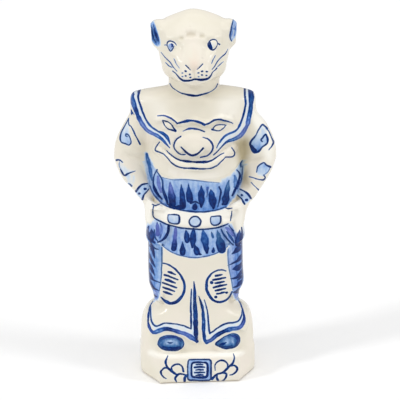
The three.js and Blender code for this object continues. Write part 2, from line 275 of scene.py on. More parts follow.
# %% Rolls of clay for the hands
BALL_SPACING = 0.8
HANDS = {
    "right": [(243, 199.5, 60, 3.4), (240.4, 204, 60, 4), (238.6, 210, 59.8, 4.3), (237.8, 218, 59.4, 4.2),
        (237.8, 225, 58.4, 3.6), (238, 230, 57.6, 2.5), (238, 232.4, 57.2, 1.6)],
    "left": [(145.6, 197.6, 59, 3.2), (147.8, 203, 59.4, 3.1), (149, 209, 58.8, 2.9),
        (149.4, 216, 57.8, 2.5), (149.6, 221, 56.8, 1.8), (149.6, 223, 56.4, 1.2)],
}
eye_nearness = float(eye @ near_way)
select_only(figure)
bpy.ops.object.mode_set(mode="EDIT")
for knots in HANDS.values():
    across, down, nearness, half_wide = smooth_line(knots, BALL_SPACING).T
    _, ways = FRONT.rays(np.stack([across, down], axis=1))
    centres = eye + ways * ((eye_nearness - nearness * MM) / -(ways @ near_way))[:, None]
    for centre, radius in zip(centres, half_wide * MM):
        bpy.ops.mesh.primitive_ico_sphere_add(subdivisions=2, radius=radius, location=centre)
bpy.ops.object.mode_set(mode="OBJECT")
print("with the hands:", len(figure.data.vertices), "points")

# %% [markdown]
# ## An even skin
#
# The voxel remesh wraps everything in one skin of small squares. The mould is faceted, so the skin is
# rubbed: where the mould has no true edge, its facets disappear, and its edges only lose their sharpness.
# A point within one millimetre of a true edge is kept from the long rub, and one four away takes it fully.

# %% The even skin, rubbed smooth
ROUNDING = 3.2 * MM
SOFTENING = 1.0 * MM
KEPT_BESIDE_EDGES = 1
FADE_FROM_EDGES = 3
RUB_LEVELS = 8
ROUNDS_PER_VOXEL = 3


def rub(shares, reach):
    """Rubs the clay smooth over some reach, more where the shares are near one."""
    group = figure.vertex_groups.new(name="rubbed")
    for level in range(1, RUB_LEVELS + 1):
        rubbed_so = np.flatnonzero(np.round(shares * RUB_LEVELS) == level)
        group.add(rubbed_so.tolist(), level / RUB_LEVELS, "REPLACE")
    rounds = max(1, round(ROUNDS_PER_VOXEL * (reach / VOXEL) ** 2))
    apply_modifier(figure, "SMOOTH", factor=0.5, iterations=rounds, vertex_group="rubbed")
    figure.vertex_groups.clear()
    print("rubbed", rounds, "times")


apply_modifier(figure, "REMESH", mode="VOXEL", voxel_size=VOXEL)
gaps = np.array([sharp_tree.find(point.co)[2] for point in figure.data.vertices])
rub(np.clip((gaps / MM - KEPT_BESIDE_EDGES) / FADE_FROM_EDGES, 0, 1), ROUNDING)
rub(np.ones(len(gaps)), SOFTENING)
print("skin:", len(figure.data.vertices), "points")

# %% [markdown]
# ## Finding places on the clay
#
# The carver and the painter both look at the figure from a side, so both use the same few helpers: which
# points lie near a line, which of them can be seen, and which lie inside an outline. A point that a side
# sees only at a grazing angle counts as hidden from it.

# %% Helpers for lines and outlines
READING_STEP = 0.02


def spread(values, shares):
    """Spreads one value or a few evenly along a line, joins them softly, and reads them at some shares."""
    values = np.atleast_1d(np.array(values, float))
    if len(values) == 1:
        return np.full(np.shape(shares), values[0])
    drawn = np.stack([np.linspace(0, 1, len(values)), values], axis=1)
    spots, softly = smooth_line(drawn, READING_STEP).T
    return np.interp(shares, spots, softly).clip(values.min(), values.max())


def nearest(points, line):
    """For each point the nearest place of a line: its number and how far it is."""
    gaps = np.linalg.norm(points[:, None, :] - line[None, :, :], axis=2)
    which = gaps.argmin(axis=1)
    return which, gaps[np.arange(len(points)), which]


def inside_box(points, line, reach):
    """The numbers of the points that lie within reach of a line's box."""
    low, high = line.min(axis=0) - reach, line.max(axis=0) + reach
    return np.flatnonzero(((points > low) & (points < high)).all(axis=1))


def depth_inside(points, outline):
    """How far flat points lie inside a closed outline; below zero outside."""
    starts, ends = outline, np.roll(outline, -1, axis=0)
    runs = ends - starts
    off = points[:, None, :] - starts[None]
    along = np.clip((off * runs).sum(2) / np.maximum((runs**2).sum(1), 1e-12), 0, 1)
    gaps = np.linalg.norm(off - along[:, :, None] * runs, axis=2).min(axis=1)
    over = (starts[:, 1] > points[:, 1:]) != (ends[:, 1] > points[:, 1:])
    rise = np.where(runs[:, 1] == 0, 1, runs[:, 1])
    crossing = starts[:, 0] + (points[:, 1:] - starts[:, 1]) * runs[:, 0] / rise
    inside = (over & (points[:, :1] < crossing)).sum(axis=1) % 2 == 1
    return np.where(inside, gaps, -gaps)


print("widths 1, 2 and 1, read at a quarter of the line:", round(float(spread((1, 2, 1), 0.25)), 2))

# %% The skin at one moment
GRAZING = 0.06
SPARED, WORKED = 0.1, 0.5
OFF_THE_SKIN = 0.5
OUTLINE_STEP = 2.0


class Skin:
    """The figure's points, their normals and its surface, as someone at work on it sees them."""

    def __init__(self, piece):
        count = len(piece.data.vertices)
        places, normals = np.empty(count * 3, np.float32), np.empty(count * 3, np.float32)
        piece.data.vertices.foreach_get("co", places)
        piece.data.vertices.foreach_get("normal", normals)
        self.points = places.reshape(-1, 3).astype(float)
        self.normals = normals.reshape(-1, 3).astype(float)
        self.surface = BVHTree.FromObject(piece, bpy.context.evaluated_depsgraph_get())
        self.in_sight = {}

    def turned(self, view):
        """How much a thumb that comes from one side works on each point, from 0 to 1."""
        facing = (view.towards(self.points) * self.normals).sum(axis=1)
        return np.clip((facing - SPARED) / (WORKED - SPARED), 0, 1)

    def seen(self, view):
        """Which points show from one side."""
        if id(view) not in self.in_sight:
            ways = view.towards(self.points)
            facing = (ways * self.normals).sum(axis=1) > GRAZING
            for i in np.flatnonzero(facing):
                start = Vector(self.points[i] + self.normals[i] * OFF_THE_SKIN * MM)
                facing[i] = self.surface.ray_cast(start, Vector(ways[i]))[0] is None
            self.in_sight[id(view)] = facing
        return self.in_sight[id(view)]

    def covered(self, view, outline, soft):
        """How much of each point an outline covers, from 0 to 1, and how far down the outline it lies."""
        edge = smooth_line([*outline, outline[0]], OUTLINE_STEP)[:-1]
        flat = view.flat(self.points)
        low, high = edge.min(axis=0) - soft, edge.max(axis=0) + soft
        close = np.flatnonzero(((flat > low) & (flat < high)).all(axis=1) & self.seen(view))
        share = np.zeros(len(flat))
        share[close] = np.clip(0.5 + depth_inside(flat[close], edge) / (2 * soft), 0, 1)
        return share, np.clip((flat[:, 1] - edge[:, 1].min()) / np.ptp(edge[:, 1]), 0, 1)


clay = Skin(figure)
print("points that the camera sees:", int(clay.seen(FRONT).sum()), "of", len(clay.points))

# %% [markdown]
# ## Carving
#
# Low relief is carved into the skin. A sculptor's tool follows a line and leaves a ridge or a groove
# with soft sides, and a thumb presses a patch in or builds it up. The points near the tool move along
# their normals, less and less towards its edge.

# %% The carving tool and the thumb
TOOL_STEP = 0.8
TURN_SPAN, TURN_START = 0.4, 0.5
moved = np.zeros(len(clay.points))


def carve(view, marks, width, height):
    """Raises a ridge along a line, or cuts a groove where height is below zero. Both are in mm.

    Clay that faces another way than the line does is spared.
    """
    marks = smooth_line(marks, TOOL_STEP)
    line, line_normals, found = cast(clay.surface, view, marks)
    heights = spread(height, found / (len(marks) - 1)) * MM
    reach = width * MM / 2
    close = inside_box(clay.points, line, reach)
    which, gap = nearest(clay.points[close], line)
    alike = (clay.normals[close] * line_normals[which]).sum(axis=1)
    facing = np.clip(alike / TURN_SPAN - TURN_START, 0, 1)
    share = np.clip(1 - (gap / reach) ** 2, 0, 1) ** 2
    moved[close] += share * facing * heights[which]


def swell(view, outline, height, soft=1.5):
    """Builds up the clay inside an outline, or presses it in. Its border is soft on both sides."""
    share, _ = clay.covered(view, outline, soft)
    moved[:] += share**2 * (3 - 2 * share) * clay.turned(view) * height * MM


def patch(centre, wide, high):
    """An oval outline round a place in the drawing."""
    turns = np.linspace(0, 2 * math.pi, 9)[:-1]
    return [(centre[0] + wide / 2 * math.cos(t), centre[1] + high / 2 * math.sin(t)) for t in turns]


def press_ovals(ovals, height, soft):
    """Works on ovals in the front's drawing, each with its centre, its width and its height there."""
    for centre, wide, high in ovals:
        swell(FRONT, patch(centre, wide, high), height, soft)


def show_relief():
    """Says how deep the deepest cut is so far, and how high the highest ridge."""
    deepest, highest = (round(float(height) / MM, 2) for height in (moved.min(), moved.max()))
    print("deepest cut:", deepest, "mm, highest ridge:", highest, "mm")


print("the tools are ready for", len(moved), "points")

# %% [markdown]
# ## Lines that are carved and painted
#
# Where the carver cut a line, the painter followed it with the brush. These lines have names, so that
# both use the same ones. They are in pixels of the picture.

# %% Lines of the head, the beast and the belt
MOUTH = [(172.4, 71), (175.6, 73.6), (179.4, 78), (183.3, 80.3), (187, 80.9), (191.6, 80.3), (194.7, 79.3),
    (199.2, 79.6), (203, 79.6), (208.1, 78.4), (210.7, 75.5), (212.6, 72.3), (216.4, 69.1)]
NOSTRILS = [[(185.5, 65.3), (190.3, 69.7)], [(202.7, 64.3), (197.3, 69.4)]]
NECK_RING = [(169.8, 83.8), (172.8, 88), (179.7, 92.2), (185.1, 94.2), (194.3, 95.7), (200.4, 94.9),
    (209.6, 92.2), (215.7, 88), (217.6, 83.8)]
BROW_LEFT = [(157.8, 116), (163.2, 115.5), (168.7, 117.1), (173.5, 120.1), (177.3, 123.1)]
BROW_MIDDLE = [(177.3, 123.1), (182.2, 122), (187.6, 120.9), (192.5, 120.7), (199.1, 122.2), (204.5, 124.8)]
BROW_RIGHT = [(204.5, 124.8), (208.2, 123.6), (214.2, 120.3), (220.3, 119.7), (226.4, 121.2),
    (231.2, 122.4), (233, 123.6)]
BRIDGE_FOLD = [(182.8, 131.2), (187.6, 129.1), (193, 128.5), (200.9, 130.3), (204.5, 131.7)]
NOSE_WING_LEFT = [(180.9, 136.4), (176.2, 139.6), (173.8, 144.5), (174.6, 148.8), (177.9, 152.6),
    (181.1, 154.3), (184.9, 154.5)]
NOSE_WING_RIGHT = [(203, 137.3), (208.2, 139.1), (211.8, 143), (213, 147.3), (211.2, 152.1), (207, 155.7),
    (200.6, 157.2)]
SNOUT = [(180.9, 147.3), (184.4, 150.5), (188.7, 154.2), (192.5, 155.3), (196.5, 154.4), (200.3, 151.5),
    (203.3, 148.3)]
UPPER_LIP = [(166.3, 150.3), (170.3, 154.4), (174.9, 157.8), (180, 160.1), (186.9, 161.2), (195, 162.1),
    (203.9, 162.1), (210.6, 160.6), (216.1, 157.6), (220.3, 154.8), (223.9, 153)]
LOWER_LIP = [(163.4, 153.8), (166.8, 157.2), (170.9, 161.8), (176, 165.8), (182.3, 167.8), (190.4, 168.4),
    (205.8, 168.8), (213, 167.6), (218.5, 164.2), (222.7, 160), (225.7, 157)]
KNOB_LEFT = [(159.6, 142.2), (157.1, 145.2), (155.2, 148.6), (155.9, 150.9), (159.9, 152.3), (163.4, 153.8)]
KNOB_RIGHT = [(231.4, 147.6), (234.2, 151), (234.9, 153.9), (233, 156.4), (229.4, 156.7), (225.7, 157)]
BELT_TOP = [(160, 203), (168, 206.6), (178, 209.6), (190, 211.4), (202, 212), (214, 210.6), (226, 207)]
BELT_FOOT = [(153.4, 206), (153.2, 215.6), (156.7, 219.4), (161.5, 221.8), (166.8, 224.2), (173.5, 226.1),
    (180.7, 227.8), (187.8, 228.5), (199.8, 229.3), (211.5, 228.5), (219.7, 227), (228.3, 223.7)]
print("marks along the mouth:", len(MOUTH), "and along the belt's lower edge:", len(BELT_FOOT))

# %% [markdown]
# ## Carving the head
#
# The tiger's forehead is furrowed: three shallow dents lie between short upright ridges. The eyes lie in
# shallow sockets, the nose is a broad bridge, and the muzzle has two pads with the mouth cut under them.

# %% Forehead, eyes and ears
FOREHEAD_DENTS = [((181.4, 38.2), 5.5, 4.6), ((191, 34.8), 10.5, 6), ((202.2, 36.2), 6, 4.8)]
FOREHEAD_RIDGES = [[(184.8, 38.6), (184.6, 33.6), (185.2, 31)], [(198.1, 37.8), (198.1, 33), (197.4, 30)]]
FURROW_BELOW = [(177.6, 41.4), (183.4, 40), (191, 38.7), (199.6, 39.4), (205.6, 41.2)]
FURROW_ABOVE = [(176, 35), (183, 30.6), (191, 28.8), (199, 29.6), (207, 33.4)]
TEMPLE_LEFT = [(163.8, 28), (166, 33), (166.8, 38.5), (164.6, 43)]
TEMPLE_RIGHT = [(222, 27), (220.6, 33), (221.8, 38), (223.6, 43)]
SOCKETS = [((175.4, 46.2), 12, 13), ((209.6, 45.2), 12, 13)]
EYEBALLS = [((171.2, 46), 7.4, 8), ((213, 44.4), 9, 9.4)]
EAR_HOLLOWS = [[(153.4, 22.5), (150.4, 27), (150.6, 33), (153, 40), (157, 43.6), (158.4, 39), (156.4, 31)],
    [(232.6, 22), (230.8, 28), (229.9, 35), (231.2, 39), (233.6, 34), (234.6, 27)]]
press_ovals(FOREHEAD_DENTS, -1.1, 1.6)
for ridge in FOREHEAD_RIDGES:
    carve(FRONT, ridge, 3.4, (0.2, 0.6, 0.1))
carve(FRONT, FURROW_BELOW, 4, 0.5)
carve(FRONT, FURROW_ABOVE, 6, (0, 0.5, 0.6, 0.5, 0))
carve(FRONT, TEMPLE_LEFT, 6, (0, 0.7, 0.7, 0))
carve(FRONT, TEMPLE_RIGHT, 6, (0, 0.7, 0.7, 0))
press_ovals(SOCKETS, -1.3, 3.5)
press_ovals(EYEBALLS, 1, 1.6)
for hollow in EAR_HOLLOWS:
    swell(FRONT, hollow, -1.2, 1.2)
show_relief()

# %% Nose, muzzle and cheeks
BRIDGE_EDGES = [[(181.6, 45), (180.4, 53), (183.4, 61)], [(204.6, 44.6), (206, 52), (204, 60.4)]]
MUZZLE_PADS = [((185.6, 74), 13, 9.6), ((203.2, 73), 13, 9.6)]
NOSE_TIP = ((194, 65.6), 9, 8)
CLEFT = [(194, 70.6), (194.3, 75), (194.6, 79)]
LOWER_LIP_ROLL = [(179, 82), (186, 84.6), (195, 84.3), (204, 84), (210.6, 81.4)]
CHEEK_LINES = [[(161.3, 52.2), (166, 58.3), (170.5, 62.7), (173.7, 67.8), (176.9, 71.3)],
    [(227.9, 49), (226, 52.8), (220.9, 57.6), (217.7, 61.5), (215.2, 65.3), (212.3, 69.4)]]
JAW_FOLDS = [[(170.6, 75), (173.6, 80), (177.4, 84)], [(166.4, 71), (169.6, 77.6), (173, 83)],
    [(219.4, 69.6), (215.6, 75.4), (211.6, 80.4)], [(222.8, 72.6), (218, 79), (213.6, 84)]]
for edge in BRIDGE_EDGES:
    carve(FRONT, edge, 7, (0, -0.7, -0.6, 0))
press_ovals([*MUZZLE_PADS, NOSE_TIP], 0.8, 2.4)
carve(FRONT, CLEFT, 2.6, -0.7)
carve(FRONT, MOUTH, 3, (-0.2, -1.1, -1.1, -1.1, -0.2))
carve(FRONT, LOWER_LIP_ROLL, 4.4, (0, 0.8, 0.8, 0))
for nostril in NOSTRILS:
    carve(FRONT, nostril, 2.4, -0.8)
for fold in CHEEK_LINES:
    carve(FRONT, fold, 3, (0, -0.6, -0.6, -0.2))
for fold in JAW_FOLDS:
    carve(FRONT, fold, 2.6, (0, 0.6, 0))
show_relief()

# %% [markdown]
# ## Trimming the sides
#
# Beside the picture the mould is a little too broad at one shoulder, at one hip, at one wrist and where
# the robe starts to flare, and its crown is too square. That is pared away softly, by one to four
# millimetres. Each place has a centre, a width, a height, how much clay is added and how soft its border is.

# %% Crown, shoulder, hip, wrist and flare
TRIMS = {
    "crown's left": (TOP, (-15, 3), 14, 26, -1.4, 6),
    "crown's right": (TOP, (15.5, 3), 14, 26, -1.2, 6),
    "crown's middle": (TOP, (-1, 3), 8, 26, 0.5, 5),
    "right shoulder": (SIDE_RIGHT, (0, 227), 70, 22, -2.4, 9),
    "right hip": (SIDE_RIGHT, (-4, 112), 80, 60, -1.2, 9),
    "left wrist": (SIDE_LEFT, (10, 150), 40, 20, -2, 6),
    "right flare": (SIDE_RIGHT, (0, 64), 70, 17, -4.4, 6),
    "left flare": (SIDE_LEFT, (0, 65), 70, 14, -3.4, 6),
}
for view, centre, wide, high, height, soft in TRIMS.values():
    swell(view, patch(centre, wide, high), height, soft)
print("trimmed at", len(TRIMS), "places")

# %% [markdown]
# ## Carving the chest and the sleeves
#
# The beast's face is barely raised from the cape. Its brow, nose and lips stand up a little and have a
# cut line round them. The sleeves are plain but for the creases at the bend of the arm.

# %% The beast, the cape and the neck
NOSE_BALL = [*NOSE_WING_LEFT, (192.5, 156.5), *reversed(NOSE_WING_RIGHT), (192, 133)]
LIP_BAND = [*UPPER_LIP, *reversed(LOWER_LIP)]
KNOB_PATCHES = [((160.6, 147.6), 9, 9.4), ((229.6, 152.4), 9, 8.4)]
BEAST_EYES = [[(162.6, 120.7), (170.8, 123.9), (175.6, 131), (168.2, 128.8)],
    [(212.2, 129.6), (219.1, 124.7), (226, 125.2), (219.1, 130.9)]]
BROW_GROOVE_DOWN = 2.6
carve(FRONT, NECK_RING, 2.4, -0.7)
for brow in (BROW_LEFT, BROW_MIDDLE, BROW_RIGHT):
    carve(FRONT, brow, 4.4, 0.6)
    carve(FRONT, [(x, y + BROW_GROOVE_DOWN) for x, y in brow], 3.4, -0.5)
for eye_outline in BEAST_EYES:
    swell(FRONT, eye_outline, 0.5, 1)
carve(FRONT, BRIDGE_FOLD, 2.4, -0.6)
swell(FRONT, NOSE_BALL, 0.55, 4)
for line in (NOSE_WING_LEFT, NOSE_WING_RIGHT, SNOUT):
    carve(FRONT, line, 2.4, -0.8)
swell(FRONT, LIP_BAND, 0.6, 1.6)
carve(FRONT, UPPER_LIP, 2.2, -0.6)
carve(FRONT, LOWER_LIP, 2.2, -0.6)
press_ovals(KNOB_PATCHES, 0.9, 1.8)
for line in (KNOB_LEFT, KNOB_RIGHT):
    carve(FRONT, line, 2, -0.6)
show_relief()

# %% Creases of the sleeves, and the cuffs
ELBOW_CREASES = [[(121.4, 152.4), (129, 154.6), (139, 157.2), (146.4, 158.6)],
    [(243, 161.2), (252, 159.8), (261, 158.8), (266.6, 157.6)]]
ELBOW_ROLLS = [[(124.6, 147.4), (131.6, 149.4), (139.4, 152), (146, 153)],
    [(240.4, 155.4), (248, 155), (257, 154.2), (263.4, 152.6)]]
INNER_FOLDS = [[(141.6, 136), (144.4, 143), (147.2, 151)], [(244.6, 139), (242, 146), (240.2, 154)]]
CUFF_PATCHES = [[(135.8, 191.4), (142.1, 185), (147.6, 183.3), (149, 188.8), (143.9, 195.1), (142.3, 199.4)],
    [(240.3, 189.1), (247, 193), (250.8, 198.2), (244.9, 204.2), (241.5, 198.8), (237.3, 195.1)]]
for crease in ELBOW_CREASES:
    carve(FRONT, crease, 5.4, (0, -1.3, -1.4, 0))
for roll in ELBOW_ROLLS:
    carve(FRONT, roll, 6.4, (0, 0.8, 0.8, 0))
for fold in INNER_FOLDS:
    carve(FRONT, fold, 6, (0, -0.9, 0))
for cuff in CUFF_PATCHES:
    swell(FRONT, cuff, 0.7, 0.9)
show_relief()

# %% [markdown]
# ## Carving the hands, the cloth and the plinth
#
# The thumbs lie along the belt's upper edge. The gathered cloth has a soft groove under every drop of
# paint that will follow.

# %% Hands and belt
THUMBS = [[(147.6, 197.6), (150, 201), (153.6, 203)], [(239.4, 198.6), (236, 202.6), (231.6, 205.4)]]
PLAQUE_LEFT = [(167.8, 216), (169.2, 214.6), (177.2, 215), (179.2, 216.6), (179.2, 221.6), (177.2, 223.8),
    (170.8, 223.2), (168.2, 220.8)]
PLAQUE_RIGHT = [(210.8, 217.4), (213.6, 216.4), (219.8, 216), (220.9, 218), (220.6, 222), (217.8, 224.6),
    (213.4, 225), (210.8, 222.4)]
STUD = patch((195, 221.7), 11.6, 10.4)
for thumb in THUMBS:
    carve(FRONT, thumb, 4, (0.2, 0.4, 0.3, 0))
carve(FRONT, BELT_FOOT, 2.2, -0.6)
for plaque in (PLAQUE_LEFT, PLAQUE_RIGHT, STUD):
    swell(FRONT, plaque, 0.7, 0.7)
show_relief()

# %% Gathers, boots and the plinth's panel
WAIST_GATHERS = [(169, 184, 171.6, 198), (176.4, 184, 177.6, 200), (185.6, 185, 186.4, 202),
    (194.6, 185, 195, 202), (207.4, 187, 207.4, 202), (218.6, 186, 217.4, 200), (231.6, 178, 228, 195),
    (160.6, 178, 164, 192), (153.6, 170, 157, 184)]
APRON_GATHERS = [(170.6, 228, 168.6, 247), (178.6, 230, 178.4, 250), (185, 231, 185.4, 253),
    (198, 231, 201.6, 256), (211.4, 231, 213.2, 252), (224.4, 231, 228, 246), (163, 226, 157.6, 241),
    (231, 228, 236, 243)]
PANEL_CENTRE = (199.5, 369.9)
for x_top, y_top, x_foot, y_foot in [*WAIST_GATHERS, *APRON_GATHERS]:
    middle = ((x_top + x_foot) / 2, (y_top + y_foot) / 2)
    carve(FRONT, [(x_top, y_top), middle, (x_foot, y_foot)], 5.4, (-0.1, -0.8, -0.7, -0.1))
BOOT_LEFT = [(157.9, 343.6), (160.5, 338), (167, 335.4), (175, 336), (181.4, 339), (183.8, 343.8),
    (181, 348.6), (174, 350.6), (165.5, 349.8), (160.4, 347.4)]
BOOT_RIGHT = [(215.8, 344.3), (220.6, 339.4), (227, 335.4), (233.6, 333.5), (238.4, 335.4), (239.7, 340),
    (237.4, 345), (230.8, 348.2), (222.6, 347.8)]
for boot in (BOOT_LEFT, BOOT_RIGHT):
    swell(FRONT, boot, 0.25, 1.6)
swell(FRONT, patch(PANEL_CENTRE, 25, 22), 0.3, 1.2)
show_relief()

# %% [markdown]
# ## The wet sponge
#
# Before the clay dries, a wet sponge goes over it and softens every cut, so the carved skin is rubbed
# once more. No surface made by hand is even, and a slow wave of a third of a millimetre runs over
# everything. What would leave the mould's box is pressed back to it, so the foot stays flat.

# %% The carved skin
SPONGE = 0.55 * MM
HAND_WAVE = 0.35 * MM
WAVE_LENGTH = 20 * MM
carved = clay.points + clay.normals * moved[:, None]
figure.data.vertices.foreach_set("co", carved.astype(np.float32).ravel())
figure.data.update()
rub(np.ones(len(carved)), SPONGE)
wave = bpy.data.textures.new("hand_wave", "CLOUDS")
wave.noise_scale = WAVE_LENGTH
apply_modifier(figure, "DISPLACE", texture=wave, strength=HAND_WAVE, mid_level=0.5)


def press_into_box():
    """Presses every point back into the mould's box."""
    spots = np.empty(len(figure.data.vertices) * 3, np.float32)
    figure.data.vertices.foreach_get("co", spots)
    inside = spots.reshape(-1, 3).clip(cad_box[0], cad_box[1])
    figure.data.vertices.foreach_set("co", inside.astype(np.float32).ravel())
    figure.data.update()


press_into_box()
apply_modifier(figure, "TRIANGULATE")
print("carved skin:", len(figure.data.polygons), "triangles")

# %% [markdown]
# ## The brush
#
# Cobalt is painted with a soft pointed brush. A stroke has a middle line, a width that swells as the
# brush is pressed down, and more or less pigment in it. Each stroke is kept as its line on the clay with
# half its width and its ink at every place. A tint above zero leans to lilac, where the glaze was thick,
# and one below zero to grey green, where the fire reached it.

# %% The brush and its marks
BRUSH_STEP = 0.5
BRUSH_SPREAD = 1.06
SHAKE = 0.12
KNOT_SPACING = 4
clay = Skin(figure)
strokes = []
hand = np.random.default_rng(12)


class Stroke:
    """A painted line: flat in its view, its places on the clay, half widths in metres, inks and tints."""

    def __init__(self, view, line, places, halves, inks, tints):
        self.view, self.line, self.places = view, line, places
        self.halves, self.inks, self.tints = halves, inks, tints
        ways = evened(np.gradient(line, axis=0))
        self.ways = ways / np.maximum(np.linalg.norm(ways, axis=1, keepdims=True), 1e-9)
        self.sides = np.stack([-self.ways[:, 1], self.ways[:, 0]], axis=1)


def evened(values):
    """Averages each place of a line with its neighbours."""
    wide = np.pad(values, ((2, 2), (0, 0)), mode="edge")
    return sum(wide[shift:shift + len(values)] for shift in range(5)) / 5


def wavering(count):
    """A slow random waver along a line's marks, for the unsteadiness of a hand."""
    knots = hand.normal(0, SHAKE, max(2, int(count * BRUSH_STEP / KNOT_SPACING) + 2))
    return np.interp(np.linspace(0, 1, count), np.linspace(0, 1, len(knots)), knots)


def brush(view, marks, width=1.0, ink=0.85, tint=0.0):
    """Paints one stroke along flat marks. Its widths are in the drawing's units."""
    line = smooth_line(marks, BRUSH_STEP)
    line = line + np.stack([wavering(len(line)) for _ in ("across", "down")], axis=1)
    places, _, found = cast(clay.surface, view, line)
    if len(places) > 2:
        shares = found / (len(line) - 1)
        pressure = 1 + wavering(len(line))[found]
        halves = spread(width, shares) / 2 * view.unit * BRUSH_SPREAD * pressure
        strokes.append(Stroke(view, line[found], places, halves, spread(ink, shares), spread(tint, shares)))


def paint(view, drawing):
    """Paints a drawing: every stroke has a name, its marks, its widths, its ink and sometimes its tint."""
    for stroke in drawing.values():
        brush(view, *stroke)
    print(len(drawing), "strokes, in all", len(strokes))

# %% [markdown]
# ## Washes and drops
#
# A wash is a thin even layer inside an outline. It is noted now and laid when every stroke is drawn,
# because the skin is thinned out in between. A drop is one press of the brush, and the shapes here say how
# its width grows and shrinks on the way.

# %% Washes, drops and dots
washes = []
blushes = []
# Places of painted shade and painted light.
painted_light_and_shade = []
LEAF = (0.12, 0.55, 0.85, 1.0, 0.9)
HEAVY_FOOT = (0.3, 0.6, 0.66, 0.72, 1.0, 0.9)
LOZENGE = (0.15, 0.75, 1.0, 0.85, 0.4)
WEDGE = (0.08, 0.4, 0.7, 0.95, 1.0)
TOUCH, TOUCH_SAG = 0.4, 0.1


def wash(view, outline, tone, tint=0.0, soft=0.6):
    """Notes a wash. Two tones or more run from the drawing's lowest second number to its highest."""
    washes.append((view, outline, tone, tint, soft))


def drop(view, top, foot, width, shape=LEAF, ink=(0.6, 0.85, 0.98, 1.0), tint=0.0):
    """A drop of paint: the brush is set down pointed, pressed, and lifted where the ink has gathered in a
    pool.
    """
    brush(view, [top, foot], np.array(shape) * width, ink, tint)


def dots(view, places, size, ink=0.95):
    """Touches of the brush's tip, each a very short stroke that sags a little."""
    for x, y in places:
        brush(view, [(x - TOUCH, y), (x, y + TOUCH_SAG), (x + TOUCH, y)], size, ink)


print("the brush works on", len(figure.data.polygons), "faces")

# %% [markdown]
# ## Painting the head
#
# The eyes, the whiskers and the mouth are the finest work, done with the brush's tip. The mouth's line is
# pressed twice, so that the lip swells on both sides of the nose.

# %% Eyes and ears
EYES = {
    "left corner": ([(164.8, 44.9), (167.3, 44.6)], 0.8, 0.7),
    "left lid": ([(166.9, 45.6), (167.6, 42.8), (170, 41), (173.7, 42.3), (176.4, 44.8)],
        (0.8, 1.2, 1.4, 1.1, 0.7), 0.95),
    "left rim": ([(167.3, 45.4), (168.6, 48.6), (170.6, 51.1), (172.6, 49.2), (174, 46)],
        (0.9, 1, 1.3, 1.1, 0.9), 0.92),
    "left pupil": ([(171.6, 43.8), (172.5, 45.2), (171.9, 46.8)], (1.4, 2, 1.2), 0.85, 0.5),
    "right rim": ([(213.2, 39.4), (210, 40.6), (208.4, 44.4), (209.9, 48), (213, 49.7), (216.2, 47.2),
        (217.4, 43.4), (216, 40.2), (213.2, 39.4)], (1.2, 1.5, 1.9, 1.5, 1.1, 0.9, 1.2), 0.98),
    "right pupil": ([(209.9, 42.4), (210.2, 45.8), (211.6, 48.2)], (1.8, 3, 1.8), 1),
    "right corner": ([(217.6, 43), (219.4, 44.3)], (0.9, 1.8), 0.95),
}
EARS = {
    "left shade": ([(153.4, 24.6), (155, 32), (158.2, 41)], (0.8, 1.8, 2.3, 1.3), (0.3, 0.6, 0.88, 0.6)),
    "left streak": ([(151.4, 27), (152.4, 34), (155.4, 42.4)], (0.7, 1.4, 1.4, 0.8), (0.3, 0.5, 0.6, 0.4),
        -0.4),
    "right shade": ([(233.3, 20), (231.2, 27.7), (229.9, 36.6), (231.6, 41)], (0.8, 1.3, 1.4, 0.9),
        (0.5, 0.85, 0.8), -0.3),
}
EYE_FILL_LEFT = [(168.2, 45), (170.4, 43.4), (173.4, 44.6), (172.4, 48), (170.6, 50)]
EYE_FILL_RIGHT = [(211, 42), (214.6, 41.6), (216, 44.6), (213.6, 47.6), (211.6, 46)]
EAR_FILL_LEFT = [(152.7, 20), (149.8, 26), (149.8, 33), (152, 40.5), (156.5, 46), (160.2, 43.6), (157.4, 32)]
EAR_FILL_RIGHT = [(233.3, 20), (231.1, 27.7), (229.7, 36.6), (231.4, 41), (234.8, 37), (236.8, 30),
    (236.6, 22)]
wash(FRONT, EYE_FILL_LEFT, 0.22, 0.8, 0.5)
wash(FRONT, EYE_FILL_RIGHT, 0.06, 0, 0.5)
wash(FRONT, EAR_FILL_LEFT, (0.2, 0.5, 0.55, 0.4))
wash(FRONT, EAR_FILL_RIGHT, (0.25, 0.4, 0.3), 0.3)
paint(FRONT, EYES)
paint(FRONT, EARS)

# %% Cheeks, whiskers, nose and mouth
WHISKERS = {
    "left long": (CHEEK_LINES[0], (0.6, 1, 0.7), 0.75),
    "left inner": ([(173.7, 58.3), (176.3, 64), (179.4, 68.5)], (0.5, 0.8, 0.5), 0.5, 0.4),
    "left outer": ([(165.4, 62.4), (169.2, 65.9), (172.1, 67.5)], (0.6, 1.1, 0.6), 0.7),
    "right long": (CHEEK_LINES[1], (0.5, 1, 1, 0.6), 0.75),
    "right inner": ([(215.5, 55.4), (213.2, 59.5), (211.6, 63.7)], (0.5, 0.9, 0.5), 0.55),
    "right outer": ([(223.4, 61.6), (221.5, 63.4), (217.1, 67.2)], (0.5, 0.9, 1, 0.6), 0.65),
    "right lowest": ([(216.6, 68.4), (214.2, 71)], (1.3, 0.7), 0.8),
}
DARK_DOTS = [(185.5, 71.2), (189.8, 74.3), (185.9, 75.9), (202, 71.2), (202.3, 75)]
MIDDLE_DOTS = [(190.3, 77.4), (198.3, 73), (206.9, 71.6), (206.5, 75.4)]
PALE_DOTS = [(182.4, 73.1), (182.3, 76.6), (198.9, 76.7)]
NOSE_BLUSH = [(190, 61), (194, 60), (198, 61), (197, 68), (194, 70.5), (191, 68)]
paint(FRONT, WHISKERS)
brush(FRONT, MOUTH, (0.8, 1.1, 1.8, 2.1, 1.6, 2.1, 1.8, 1.1, 0.8), (0.85, 0.98, 1, 0.98, 0.85))
for nostril in NOSTRILS:
    brush(FRONT, nostril, (1, 1, 0.6), 0.95, -0.3)
dots(FRONT, DARK_DOTS, 1.6, 1)
